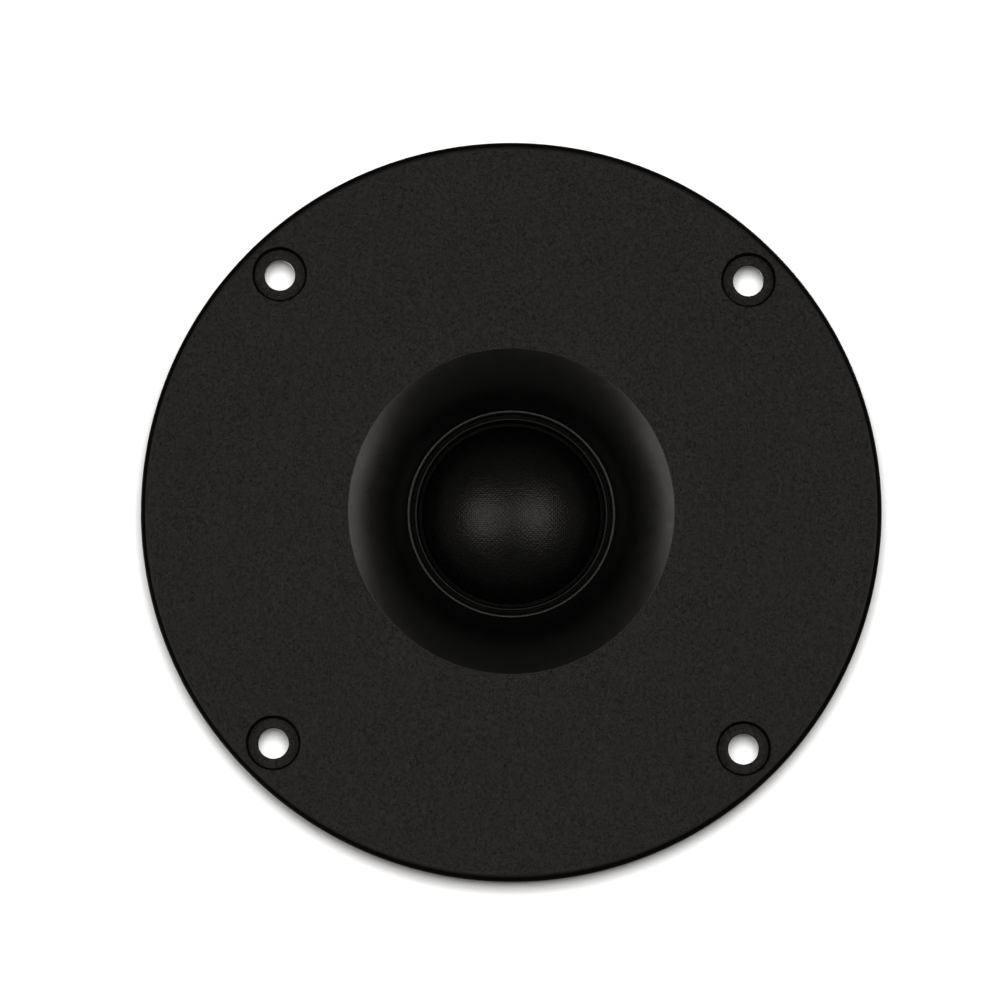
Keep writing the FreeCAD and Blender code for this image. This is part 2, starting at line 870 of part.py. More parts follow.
def make_tab(node, middle_x, width):
    """A push-on tab, flat across Y, with a chamfered tip and a hole near it."""
    body = new_body(node)
    left, right = f"{middle_x} - {width} / 2", f"{middle_x} + {width} / 2"
    blade = new_sketch(body, f"{node}_outline", "XZ_Plane", "dims.tab_near_y")
    corners = [
        (left, "dims.tab_front_z"),
        (left, "dims.tab_rear_z + dims.tab_tip"),
        (f"{left} + dims.tab_tip", "dims.tab_rear_z"),
        (f"{right} - dims.tab_tip", "dims.tab_rear_z"),
        (right, "dims.tab_rear_z + dims.tab_tip"),
        (right, "dims.tab_front_z"),
    ]
    draw_path(blade, corners, closed=True)
    extrude(body, f"{node}_blade", blade, "dims.tab_thickness")
    far_y = "dims.tab_near_y + dims.tab_thickness"
    hole = new_sketch(body, f"{node}_hole", "XZ_Plane", far_y)
    draw_circle(hole, middle_x, "dims.tab_rear_z + dims.tab_hole_inset", "dims.tab_hole_r")
    extrude(body, f"{node}_eye", hole, "dims.tab_thickness", "Pocket")


def make_terminal_rivets():
    body = new_body("terminal_rivets")
    head = "dims.rivet_head_height"
    dish = f"((dims.rivet_head_r^2 + {head}^2) / (2 * {head}))"
    rivet = revolve_beside(
        body,
        "rivet",
        RIVET_X,
        RIVET_Y,
        [
            ("0", f"{BLOCK_REAR_Z} - {head}", dish, 1),
            ("dims.rivet_head_r", BLOCK_REAR_Z),
            ("dims.rivet_r", BLOCK_REAR_Z),
            ("dims.rivet_r", PLATE_Z),
            ("dims.rivet_head_r", PLATE_Z, dish, 1),
            ("0", f"{PLATE_Z} + {head}"),
        ],
    )
    mirror_across_x(body, rivet)


def make_solder_joints():
    """A cone of solder on each tab's near side, where its lead ends."""
    cones = []
    for side, name in ((-1, "solder_positive"), (1, "solder_negative")):
        cone = doc.addObject("Part::Cone", name)
        cone.setExpression("Radius1", "dims.solder_foot_r")
        cone.setExpression("Radius2", "dims.solder_top_r")
        cone.setExpression("Height", "dims.solder_height")
        cone.Placement = FreeCAD.Placement(V(0, 0, 0), FreeCAD.Rotation(V(0, 0, 1), V(0, 1, 0)))
        cone.setExpression("Placement.Base.x", f"{side} * dims.lead_x")
        cone.setExpression("Placement.Base.y", "-dims.tab_near_y")
        cone.setExpression("Placement.Base.z", "dims.lead_z")
        cones.append(cone)
    joints = doc.addObject("Part::Compound", "solder_joints")
    joints.Label = "solder_joints"
    joints.Links = cones
    subparts.append(joints)


# ---------------------------------------------------------------- build, check and write


def check_feature(feature):
    """Stop if a feature adds or removes nothing where it should."""
    base = feature.BaseFeature
    if base is None or base.Shape.isNull():
        return
    source = feature.Originals[0] if hasattr(feature, "Originals") else feature
    cuts = source.TypeId.split("::")[1] in ("Pocket", "Groove", "Hole")
    grown = feature.Shape.Volume - base.Shape.Volume
    if (grown >= 0) if cuts else (grown <= 0):
        raise RuntimeError(f"{feature.Name} changes the volume by {grown:.4f} mm3")


def check_everything():
    for thing in doc.Objects:
        if "Invalid" in thing.State or "Error" in thing.State:
            raise RuntimeError(f"{thing.Name} failed: {thing.State}")
        if hasattr(thing, "BaseFeature") and thing.TypeId != "PartDesign::Body":
            check_feature(thing)
    for subpart in subparts:
        if subpart.Shape.isNull() or not subpart.Shape.isValid():
            raise RuntimeError(f"{subpart.Label} has no valid shape")


make_faceplate()
make_flange_gasket()
make_diaphragm_ring()
make_diaphragm_seal()
make_surround()
make_dome()
make_coil()
make_lead("lead_positive", -1)
make_lead("lead_negative", 1)
make_top_plate()
make_magnet()
make_yoke()
make_copper_cap()
make_felts()
make_faceplate_screws()
make_terminal_block()
for tab in TABS:
    make_tab(*tab)
make_terminal_rivets()
make_solder_joints()

doc.recompute()
check_everything()
os.makedirs("parts", exist_ok=True)
for subpart in subparts:
    subpart.Shape.exportStep(f"parts/{subpart.Label}.step")
    solids = len(subpart.Shape.Solids)
    print(f"{subpart.Label}: {solids} solid(s), {subpart.Shape.Volume:.2f} mm3")
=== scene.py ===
"""Looks of a flanged soft-dome tweeter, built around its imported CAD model. Metres, row frame."""

import bmesh
import bpy
import json
import math
import random
from mathutils import Matrix, Vector, noise
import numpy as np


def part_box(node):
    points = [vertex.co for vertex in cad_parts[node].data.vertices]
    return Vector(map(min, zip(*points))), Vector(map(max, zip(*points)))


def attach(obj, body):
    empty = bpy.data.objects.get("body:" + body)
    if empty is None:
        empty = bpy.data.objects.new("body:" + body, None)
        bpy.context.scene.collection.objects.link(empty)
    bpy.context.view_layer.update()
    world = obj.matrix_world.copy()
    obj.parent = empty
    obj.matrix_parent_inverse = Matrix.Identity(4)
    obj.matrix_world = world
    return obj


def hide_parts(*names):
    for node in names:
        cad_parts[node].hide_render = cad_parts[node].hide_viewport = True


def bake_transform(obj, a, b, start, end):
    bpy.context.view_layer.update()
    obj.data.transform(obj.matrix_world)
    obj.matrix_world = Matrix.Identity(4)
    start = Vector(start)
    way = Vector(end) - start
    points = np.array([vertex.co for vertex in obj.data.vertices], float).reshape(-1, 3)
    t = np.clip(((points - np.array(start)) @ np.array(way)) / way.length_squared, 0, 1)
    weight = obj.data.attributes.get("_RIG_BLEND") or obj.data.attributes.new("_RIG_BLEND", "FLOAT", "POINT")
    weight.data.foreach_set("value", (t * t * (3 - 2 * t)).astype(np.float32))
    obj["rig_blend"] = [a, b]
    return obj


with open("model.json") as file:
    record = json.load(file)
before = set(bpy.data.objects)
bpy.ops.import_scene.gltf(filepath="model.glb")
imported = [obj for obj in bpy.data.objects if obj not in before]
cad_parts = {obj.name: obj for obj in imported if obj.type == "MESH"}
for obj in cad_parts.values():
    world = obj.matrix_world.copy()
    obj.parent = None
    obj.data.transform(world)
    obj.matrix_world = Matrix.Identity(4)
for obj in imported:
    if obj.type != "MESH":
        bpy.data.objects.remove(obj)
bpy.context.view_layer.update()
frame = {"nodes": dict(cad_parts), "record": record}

MM = 0.001
NODES = frame["nodes"]
MOUNTS = {mount["name"]: mount for mount in frame["record"]["mounts"]}
FIXED, MOVING = "chassis", "diaphragm"
SEGMENTS = 240
SHARP = math.radians(35)  # edges that turn more than this stay crisp
noise.seed_set(7)  # noise_vector would otherwise change from run to run


def extent(node):
    """The largest radius, the foot and the top of a CAD node that is centred on the axis."""
    low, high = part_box(node)
    return high.x, low.z, high.z


FLANGE_R, BOSS_Z, FACE_Z = extent("faceplate")
PLATE_R, PLATE_REAR_Z, PLATE_Z = extent("top_plate")
MAGNET_R, MAGNET_REAR_Z, _ = extent("magnet")
YOKE_R, FLOOR_Z, POLE_Z = extent("yoke")
RING_R, RIM_Z, RING_Z = extent("diaphragm_ring")
BOSS_R = MOUNTS["baffle_boss"]["dims"]["r_mm"] * MM
HOLE_R = MOUNTS["fixing_holes"]["dims"]["hole_r_mm"] * MM
HOLE_CIRCLE_R = MOUNTS["fixing_holes"]["dims"]["pcd_mm"] / 2 * MM
HOLE_COUNT = MOUNTS["fixing_holes"]["dims"]["count"]
FIRST_HOLE = math.pi / HOLE_COUNT  # the angle of the first hole and of the first screw

# Shapes that the CAD boxes don't give
MOUTH_R = 22.9 * MM
THROAT_R = 14.2 * MM
THROAT_LAND = 0.5 * MM
HORN_BEND_R = 18.6 * MM
COUNTERBORE_R = 3.75 * MM
COUNTERBORE_DEPTH = 1.5 * MM
RECESS_Z = 2.2 * MM
GROOVE_Z = 0.8 * MM
GROOVE_R, GROOVE_INNER_R = 41.8 * MM, 39.2 * MM
CORE_Z = 1.8 * MM
CORE_R, CORE_INNER_R = 35.0 * MM, 22.5 * MM
RECESS_R, RECESS_INNER_R = 50.4 * MM, 42.6 * MM
RIB_WIDTH = 1.2 * MM
WALL_Z = FACE_Z - 1.1 * MM  # where the flange's wall meets its rounded front edge
LIP_R = 13.3 * MM
DOME_R = 12.6 * MM
DOME_SKIN = 0.3 * MM
SKIN = 0.25 * MM
ROLL_INNER_R, ROLL_OUTER_R = 13.0 * MM, 15.9 * MM
SCREW_CIRCLE_R = 33.3 * MM


# ---------------------------------------------------------------- camera, floor and lights

FLANGE_SHARE = 0.7414  # of the picture's width
CAMERA_DISTANCE = 1.4
CAMERA_HEIGHT = math.radians(86)
CAMERA_TURN = math.radians(1)
CAMERA_ROLL = math.radians(0.7)
OFF_CENTRE_RIGHT = 0.0113  # of the picture's width
OFF_CENTRE_DOWN = 0.0110


def towards(turn, height):
    """A direction from the object: turn from -Y towards +X, and height above the floor."""
    flat = math.cos(height)
    return Vector((math.sin(turn) * flat, -math.cos(turn) * flat, math.sin(height)))


def looking_at(place, target, up):
    """An object's matrix at a place, with its -Z towards the target."""
    back = (place - target).normalized()
    right = up.cross(back).normalized()
    turned = Matrix((right, back.cross(right), back)).transposed()
    return Matrix.Translation(place) @ turned.to_4x4()


def add_camera():
    data = bpy.data.cameras.new("camera")
    width = 2 * FLANGE_R / FLANGE_SHARE
    data.angle = 2 * math.atan(width / 2 / CAMERA_DISTANCE)
    data.clip_end = 10
    camera = bpy.data.objects.new("camera", data)
    bpy.context.scene.collection.objects.link(camera)
    middle = Vector((0, 0, FACE_Z))
    place = middle + towards(CAMERA_TURN, CAMERA_HEIGHT) * CAMERA_DISTANCE
    matrix = looking_at(place, middle, Vector((0, 1, 0)))
    matrix = matrix @ Matrix.Rotation(CAMERA_ROLL, 4, "Z")
    aside = Vector((-OFF_CENTRE_RIGHT * width, OFF_CENTRE_DOWN * width, 0))
    camera.matrix_world = matrix @ Matrix.Translation(aside)
    bpy.context.scene.camera = camera


def add_softbox(name, turn, height, distance, size, watts, colour=(1, 1, 1)):
    data = bpy.data.lights.new(name, "AREA")
    data.shape = "RECTANGLE"
    data.size, data.size_y = size
    data.energy = watts
    data.color = colour
    light = bpy.data.objects.new(name, data)
    bpy.context.scene.collection.objects.link(light)
    middle = Vector((0, 0, FACE_Z))
    place = middle + towards(turn, height) * distance
    light.matrix_world = looking_at(place, middle, Vector((0, 1, 0)))
    return light


def add_floor_lamp(floor):
    """A lamp for the floor alone, high enough for the flange's shadow to stay close to it."""
    height, distance, side, watts = math.radians(88.5), 1.4, 0.12, 90
    lamp = add_softbox("floor_lamp", CAMERA_TURN, height, distance, (side, side), watts)
    lit = bpy.data.collections.new("lit_floor")
    lit.objects.link(floor)
    lamp.light_linking.receiver_collection = lit


def add_lights():
    height, size = math.radians(61), (0.44, 0.48)
    warm = (1, 0.955, 0.88)
    away = 0.8
    add_softbox("key_left", -math.radians(86), height, away, size, 1.95, warm)
    add_softbox("key_right", math.radians(91), height, away, size, 1.95, warm)
    add_softbox("overhead", math.pi, math.radians(86), away, (0.12, 0.12), 0.24, warm)
    below, size = -math.radians(48), (0.4, 0.5)
    add_softbox("under_left", -math.radians(60), below, away, size, 4)
    add_softbox("under_right", math.radians(130), below, away, size, 3)


def add_world():
    """A dark room with a dim ceiling and a pale ground, which looks white behind the object."""
    world = bpy.data.worlds.new("studio")
    world.use_nodes = True
    nodes, links = world.node_tree.nodes, world.node_tree.links
    background = nodes["Background"]
    background.inputs["Color"].default_value = (1, 0.97, 0.92, 1)
    axes = nodes.new("ShaderNodeSeparateXYZ")
    links.new(nodes.new("ShaderNodeTexCoord").outputs["Generated"], axes.inputs[0])
    strength = nodes.new("ShaderNodeLightPath").outputs["Is Camera Ray"]
    dark = 0.003
    ceiling, ground = (0.25, 0.52, dark, 0.14), (-0.05, -0.3, dark, 0.4)
    for settings in (ceiling, ground):
        band = nodes.new("ShaderNodeMapRange")
        for name, setting in zip(("From Min", "From Max", "To Min", "To Max"), settings):
            band.inputs[name].default_value = setting
        links.new(axes.outputs["Z"], band.inputs["Value"])
        most = nodes.new("ShaderNodeMath")
        most.operation = "MAXIMUM"
        links.new(strength, most.inputs[0])
        links.new(band.outputs["Result"], most.inputs[1])
        strength = most.outputs[0]
    links.new(strength, background.inputs["Strength"])
    bpy.context.scene.world = world


def add_floor():
    """A pale table top, seen from above only, that lets the light below it reach the object."""
    mesh = bpy.data.meshes.new("floor")
    half = 1.5
    corners = [(-half, -half), (half, -half), (half, half), (-half, half)]
    mesh.from_pydata([(x, y, FLOOR_Z) for x, y in corners], [], [(0, 1, 2, 3)])
    floor = bpy.data.objects.new("floor", mesh)
    bpy.context.scene.collection.objects.link(floor)
    look = Look("pale_floor", roughness=0.8)
    look.shader.inputs["Base Color"].default_value = (0.2, 0.2, 0.2, 1)
    look.shader.inputs["Emission Color"].default_value = (1, 1, 1, 1)
    look.shader.inputs["Emission Strength"].default_value = 0.02
    behind = look.add("NewGeometry").outputs["Backfacing"]
    clear = look.add("BsdfTransparent").outputs[0]
    one_sided = look.add("MixShader", {0: behind, 1: look.shader.outputs[0], 2: clear})
    output = look.tree.nodes["Material Output"]
    look.tree.links.new(one_sided.outputs[0], output.inputs["Surface"])
    mesh.materials.append(look.material)
    floor.visible_diffuse = floor.visible_glossy = floor.visible_shadow = False
    add_floor_lamp(floor)


# ---------------------------------------------------------------- materials


class Look:
    """A material in the making: one Principled shader, patterned over the row frame."""

    def __init__(self, name, roughness, metallic=0.0, specular=0.5):
        self.material = bpy.data.materials.new(name)
        self.material.use_nodes = True
        self.tree = self.material.node_tree
        self.shader = self.tree.nodes["Principled BSDF"]
        self.shader.inputs["Roughness"].default_value = roughness
        self.shader.inputs["Metallic"].default_value = metallic
        self.shader.inputs["Specular IOR Level"].default_value = specular
        self.place = self.add("TexCoord").outputs["Object"]
        self.normal = None

    def add(self, kind, sockets=None, **settings):
        """A shader node with its settings, and its sockets set to values or linked to others."""
        node = self.tree.nodes.new(f"ShaderNode{kind}")
        for name, setting in settings.items():
            setattr(node, name, setting)
        for key, source in (sockets or {}).items():
            if isinstance(source, bpy.types.NodeSocket):
                self.tree.links.new(source, node.inputs[key])
            else:
                node.inputs[key].default_value = source
        return node

    def maths(self, operation, *values):
        sockets = dict(enumerate(values))
        return self.add("Math", sockets, operation=operation).outputs[0]

    def noise(self, size, detail=2.0, stretch=(1, 1, 1)):
        """Smooth noise from 0 to 1, of a feature size in metres, drawn out along an axis."""
        scale = tuple(1 / (size * s) for s in stretch)
        moved = self.add("VectorMath", {0: self.place, 1: scale}, operation="MULTIPLY").outputs[0]
        sockets = {"Vector": moved, "Scale": 1.0, "Detail": detail}
        return self.add("TexNoise", sockets).outputs[0]

    def cells(self, size):
        """The distance from the middle of rounded cells, of a size in metres."""
        sockets = {"Vector": self.place, "Scale": 1 / size, "Smoothness": 0.4}
        return self.add("TexVoronoi", sockets, feature="SMOOTH_F1").outputs["Distance"]

    def radius(self):
        flat = self.add("VectorMath", {0: self.place, 1: (1, 1, 0)}, operation="MULTIPLY")
        return self.add("VectorMath", {0: flat.outputs[0]}, operation="LENGTH").outputs["Value"]

    def rings(self, size):
        """Noise from 0 to 1 that changes with the distance from the Z axis only."""
        across = self.maths("DIVIDE", self.radius(), size)
        sockets = {"W": across, "Scale": 1.0, "Detail": 3.0}
        return self.add("TexNoise", sockets, noise_dimensions="1D").outputs[0]

    def between(self, factor, low, high):
        """A noise's usual span, 0.3 to 0.7, stretched to run from low to high."""
        sockets = {"Value": factor, "From Min": 0.3, "From Max": 0.7}
        sockets.update({"To Min": low, "To Max": high})
        return self.add("MapRange", sockets).outputs["Result"]

    def colour(self, factor, dark, light):
        """Base colour from dark to light by a factor."""
        share = self.between(factor, 0.0, 1.0)
        mix = self.add("Mix", {0: share}, data_type="RGBA")
        mix.inputs[6].default_value = (*dark, 1)
        mix.inputs[7].default_value = (*light, 1)
        self.tree.links.new(mix.outputs[2], self.shader.inputs["Base Color"])

    def roughness(self, factor, low, high):
        self.tree.links.new(self.between(factor, low, high), self.shader.inputs["Roughness"])

    def bump(self, height, depth):
        """Relief from a height that runs from 0 to 1, of a depth in metres, on top of any other."""
        node = self.add("Bump", {"Height": height, "Distance": depth, "Strength": 1.0})
        if self.normal:
            self.tree.links.new(self.normal, node.inputs["Normal"])
        self.normal = node.outputs["Normal"]
        self.tree.links.new(self.normal, self.shader.inputs["Normal"])


def grey(level, warmth=0.0):
    """A grey of a level, a little warmer or colder."""
    return (level * (1 + warmth), level, level * (1 - warmth))


def grained_plastic():
    """Spark-eroded black ABS."""
    look = Look("grained_black_abs", 0.58, specular=0.39)
    look.colour(look.noise(7 * MM, 3), grey(0.0075, 0.04), grey(0.0105, 0.04))
    look.roughness(look.noise(0.9 * MM, 2), 0.52, 0.62)
    look.bump(look.noise(0.5 * MM, 3, (1, 1.5, 1)), 0.6 * MM)
    look.bump(look.cells(0.34 * MM), 0.08 * MM)
    return look.material


def smooth_plastic():
    """The horn's satin black ABS, with faint marks of the mould's turning."""
    look = Look("satin_black_abs", 0.29, specular=0.35)
    look.colour(look.noise(5 * MM, 3), grey(0.0006, 0.06), grey(0.0010, 0.06))
    look.roughness(look.noise(1.6 * MM, 4), 0.26, 0.32)
    look.bump(look.rings(0.22 * MM), 0.0006 * MM)
    look.bump(look.noise(0.25 * MM, 2), 0.0015 * MM)
    return look.material


def edge_plastic_with_painted_shade():
    """Matt black plastic of the flange's rounded rim, the mouth's groove and the holes' lips, walls and
    bottom corners, with a base colour far darker than the face's as painted shade.
    """
    look = Look("matt_black_abs_with_painted_shade", 0.8, specular=0.06)
    # painted shade: a base colour darker than the grained face's
    look.colour(look.noise(4 * MM, 3), grey(0.0016, 0.04), grey(0.003, 0.04))
    look.bump(look.noise(0.4 * MM, 3), 0.02 * MM)
    return look.material


def moulded_plastic():
    """Plain moulded ABS of the flange's wall and rear: satin, with a soft flow pattern."""
    look = Look("moulded_black_abs", 0.42, specular=0.5)
    look.colour(look.noise(9 * MM, 4), grey(0.009, 0.02), grey(0.014, 0.02))
    look.roughness(look.noise(3 * MM, 4), 0.36, 0.5)
    look.bump(look.noise(2.4 * MM, 2), 0.01 * MM)
    look.bump(look.noise(0.3 * MM, 2), 0.004 * MM)
    return look.material


def bead_plastic():
    """The smoother beads round the throat and near the rim, which catch more light."""
    look = Look("lip_black_plastic", 0.48, specular=0.23)
    look.colour(look.noise(2 * MM, 3), grey(0.0012, 0.02), grey(0.0026, 0.02))
    look.roughness(look.noise(0.6 * MM, 3), 0.42, 0.54)
    look.bump(look.noise(0.22 * MM, 3), 0.01 * MM)
    return look.material


def ring_plastic():
    """The clamping ring's matt black plastic."""
    look = Look("matt_ring_plastic", 0.6, specular=0.06)
    look.colour(look.noise(3 * MM, 3), grey(0.0006, 0.02), grey(0.0014, 0.02))
    look.roughness(look.noise(0.8 * MM, 3), 0.55, 0.7)
    look.bump(look.noise(0.35 * MM, 2), 0.01 * MM)
    return look.material


def silk(name, specular):
    """Black silk in a plain weave, filled with a soft coating."""
    thread = 0.3 * MM
    look = Look(name, 0.33, specular=specular)
    axes = look.add("SeparateXYZ", {0: look.place}).outputs
    ridges = []
    for axis in (axes[0], axes[1]):
        turn = look.maths("MULTIPLY", axis, math.pi / thread)
        ridges.append(look.maths("ABSOLUTE", look.maths("SINE", turn)))
    flat = look.add("CombineXYZ", {0: axes[0], 1: axes[1]}).outputs[0]
    over = look.add("TexChecker", {"Vector": flat, "Scale": 1 / thread}).outputs[1]
    weave = look.add("Mix", {0: over, 2: ridges[0], 3: ridges[1]}).outputs[0]
    fill = look.noise(1.1 * MM, 4)
    look.colour(fill, grey(0.0008, 0.02), grey(0.0020, 0.02))
    look.roughness(look.noise(0.5 * MM, 3), 0.31, 0.38)
    look.bump(weave, 0.012 * MM)
    look.bump(look.noise(0.34 * MM, 3, (1.6, 1, 1)), 0.055 * MM)
    return look.material


def foam():
    """Closed-cell foam: fine round pores, painted darker in their pits as shade."""
    look = Look("foam_look", 0.85, specular=0.25)
    pores = look.cells(0.28 * MM)
    # painted shade: the colour is darkest where the pores' bump dips
    look.colour(pores, grey(0.012), grey(0.03))
    look.bump(pores, 0.12 * MM)
    look.bump(look.noise(0.9 * MM, 3), 0.08 * MM)
    return look.material


def sealing():
    """Fibre gasket board, grey-black."""
    look = Look("seal_look", 0.75, specular=0.3)
    look.colour(look.noise(0.6 * MM, 4), grey(0.012), grey(0.03))
    look.bump(look.noise(0.25 * MM, 4), 0.02 * MM)
    return look.material


def felt():
    """Pressed wool felt: tangled short fibres."""
    look = Look("felt_look", 0.95, specular=0.15)
    look.colour(look.noise(0.5 * MM, 5), (0.16, 0.16, 0.155), (0.34, 0.335, 0.32))
    look.bump(look.noise(0.22 * MM, 4, (4, 1, 1)), 0.06 * MM)
    look.bump(look.noise(0.22 * MM, 4, (1, 4, 1)), 0.06 * MM)
    look.shader.inputs["Sheen Weight"].default_value = 0.35
    look.shader.inputs["Sheen Roughness"].default_value = 0.5
    return look.material


def zinc():
    """Turned steel under bright zinc, faintly blue and yellow by turns."""
    look = Look("zinc_plate_look", 0.34, metallic=1.0)
    look.colour(look.noise(11 * MM, 4), (0.50, 0.51, 0.54), (0.62, 0.61, 0.57))
    look.roughness(look.noise(4 * MM, 2), 0.33, 0.39)
    look.bump(look.rings(0.25 * MM), 0.004 * MM)
    look.bump(look.noise(0.3 * MM, 3), 0.004 * MM)
    return look.material


def ferrite():
    """Sintered ferrite: charcoal, pitted, ground on its two flat faces."""
    look = Look("ferrite_look", 0.62, specular=0.45)
    look.colour(look.noise(2.2 * MM, 6), grey(0.020, -0.02), grey(0.042, -0.02))
    look.roughness(look.noise(0.8 * MM, 4), 0.5, 0.72)
    look.bump(look.noise(0.35 * MM, 5), 0.05 * MM)
    look.bump(look.noise(0.5 * MM, 2, (30, 1, 1)), 0.012 * MM)
    return look.material


def copper(name, roughness, enamel=0.0):
    """Drawn copper, bare or under a clear amber enamel."""
    look = Look(name, roughness, metallic=1.0)
    look.colour(look.noise(1.5 * MM, 4), (0.62, 0.25, 0.12), (0.86, 0.42, 0.24))
    look.roughness(look.noise(0.5 * MM, 3), roughness - 0.06, roughness + 0.08)
    look.bump(look.noise(0.1 * MM, 3), 0.002 * MM)
    look.shader.inputs["Coat Weight"].default_value = enamel
    look.shader.inputs["Coat Roughness"].default_value = 0.12
    return look.material


def foil():
    """Hard aluminium foil, rolled in one direction round the former."""
    look = Look("foil_look", 0.3, metallic=1.0)
    look.colour(look.noise(2 * MM, 3), (0.62, 0.62, 0.63), (0.80, 0.80, 0.81))
    look.bump(look.noise(0.12 * MM, 3, (1, 1, 12)), 0.003 * MM)
    return look.material


def black_zinc():
    """Blackened steel of the screws."""
    look = Look("screw_steel_look", 0.36, metallic=0.85, specular=0.5)
    look.colour(look.noise(1.2 * MM, 4), (0.028, 0.029, 0.033), (0.065, 0.064, 0.062))
    look.roughness(look.noise(0.5 * MM, 3), 0.28, 0.45)
    look.bump(look.noise(0.25 * MM, 3), 0.006 * MM)
    return look.material


def nylon():
    """Glass-filled black nylon: short fibres show as fine streaks."""
    look = Look("block_plastic_look", 0.5, specular=0.5)
    look.colour(look.noise(2.5 * MM, 5), grey(0.011, 0.03), grey(0.022, 0.03))
    look.roughness(look.noise(0.6 * MM, 4), 0.42, 0.6)
    look.bump(look.noise(0.14 * MM, 3, (1, 1, 5)), 0.012 * MM)
    return look.material


def tinned_brass():
    """Brass strip with a dull tin plate that thins towards the tips."""
    look = Look("tinned_brass_look", 0.34, metallic=1.0)
    look.colour(look.noise(3.5 * MM, 4), (0.70, 0.67, 0.58), (0.80, 0.80, 0.78))
    look.roughness(look.noise(0.8 * MM, 4), 0.26, 0.42)
    look.bump(look.noise(0.16 * MM, 2, (1, 1, 14)), 0.004 * MM)
    return look.material


def nickel():
    """Nickel-plated steel of the rivets."""
    look = Look("rivet_steel_look", 0.28, metallic=1.0)
    look.colour(look.noise(1.0 * MM, 4), (0.55, 0.53, 0.49), (0.70, 0.68, 0.64))
    look.roughness(look.noise(0.5 * MM, 3), 0.22, 0.36)
    look.bump(look.noise(0.3 * MM, 3), 0.006 * MM)
    return look.material


def solder():
    """Bright solder with slight ripples."""
    look = Look("solder_look", 0.25, metallic=1.0)
    look.colour(look.noise(0.6 * MM, 4), (0.60, 0.60, 0.61), (0.82, 0.82, 0.83))
    look.roughness(look.noise(0.3 * MM, 3), 0.18, 0.36)
    look.bump(look.noise(0.22 * MM, 3), 0.01 * MM)
    return look.material


# ---------------------------------------------------------------- mesh helpers


def arc(centre, start, end, steps):
    """Points on the short way round from start to end, both included."""
    first, last = start - centre, end - centre
    angle = math.atan2(first.y, first.x)
    turn = first.angle_signed(last)  # clockwise is positive
    points = []
    for i in range(steps + 1):
        at = angle - turn * i / steps
        points.append(centre + Vector((math.cos(at), math.sin(at))) * first.length)
    return points


def bulging_arc(start, end, radius, steps):
    """An arc of a radius from start to end that bulges to the left of the way there."""
    middle, along = (start + end) / 2, end - start
    to_right = Vector((along.y, -along.x)).normalized()
    reach = math.sqrt(radius**2 - (along.length / 2) ** 2)
    return arc(middle + to_right * reach, start, end, steps)


def rounded(corners, steps=8):
    """A closed outline through corners of (r, z, rounding), in metres."""
    outline = []
    for i, (r, z, rounding) in enumerate(corners):
        here = Vector((r, z))
        if not rounding:
            outline.append(here)
            continue
        back = (Vector(corners[i - 1][:2]) - here).normalized()
        ahead = (Vector(corners[(i + 1) % len(corners)][:2]) - here).normalized()
        half = back.angle(ahead) / 2
        centre = here + (back + ahead).normalized() * (rounding / math.sin(half))
        setback = rounding / math.tan(half)
        outline += arc(centre, here + back * setback, here + ahead * setback, steps)
    return outline


def refined(outline, step):
    """The outline with points added on its long sides, no further apart than a step."""
    points = []
    for here, ahead in zip(outline, outline[1:] + outline[:1]):
        here, ahead = Vector(here), Vector(ahead)
        count = max(1, math.ceil((ahead - here).length / step))
        points += [here.lerp(ahead, i / count) for i in range(count)]
    return points


def join_rings(shape, one, other):
    """Faces between two rings of vertices, where a ring of one vertex is a point on the axis."""
    count = max(len(one), len(other))
    for i in range(count):
        j = (i + 1) % count
        corners = [one[i % len(one)], one[j % len(one)]]
        corners += [other[j % len(other)], other[i % len(other)]]
        corners = list(dict.fromkeys(corners))
        if len(corners) > 2:
            shape.faces.new(corners)


def lathe(outline, segments=SEGMENTS, warp=None):
    """Turn a closed outline of (r, z) points about Z. warp(point) moves each point of it."""
    shape = bmesh.new()
    rings = []
    for r, z in outline:
        turns = range(segments) if r > 1e-9 else [0]
        ring = []
        for i in turns:
            angle = 2 * math.pi * i / segments
            point = Vector((r * math.cos(angle), r * math.sin(angle), z))
            ring.append(shape.verts.new(warp(point) if warp else point))
        rings.append(ring)
    for one, other in zip(rings, rings[1:] + rings[:1]):
        join_rings(shape, one, other)
    return shape


def add_pipe(shape, rings):
    """A closed tube through rings of points."""
    rings = [[shape.verts.new(point) for point in ring] for ring in rings]
    for one, other in zip(rings, rings[1:]):
        join_rings(shape, one, other)
    shape.faces.new(rings[0])
    shape.faces.new(reversed(rings[-1]))


def add_block(shape, low, high):
    """A box between two corners."""
    made = bmesh.ops.create_cube(shape, size=1)["verts"]
    low, high = Vector(low), Vector(high)
    middle, size = (low + high) / 2, high - low
    matrix = Matrix.Translation(middle) @ Matrix.Diagonal((*size, 1))
    bmesh.ops.transform(shape, matrix=matrix, verts=made)


def moved(shape, matrix):
    bmesh.ops.transform(shape, matrix=matrix, verts=shape.verts)
    return shape


def join(everything, shape):
    """Add a shape to another, and be done with it."""
    mesh = bpy.data.meshes.new("joined")
    shape.to_mesh(mesh)
    everything.from_mesh(mesh)
    bpy.data.meshes.remove(mesh)
    shape.free()


def round_about(shape, count, first_angle=0.0):
    """The shape and its copies, evenly about Z, as one shape."""
    everything = bmesh.new()
    for i in range(count):
        angle = first_angle + 2 * math.pi * i / count
        join(everything, moved(shape.copy(), Matrix.Rotation(angle, 4, "Z")))
    shape.free()
    return everything


def new_object(name, shape):
    """An object of a shape, with its faces turned outwards."""
    bmesh.ops.recalc_face_normals(shape, faces=shape.faces)
    mesh = bpy.data.meshes.new(name)
    shape.to_mesh(mesh)
    shape.free()
    piece = bpy.data.objects.new(name, mesh)
    bpy.context.scene.collection.objects.link(piece)
    return piece


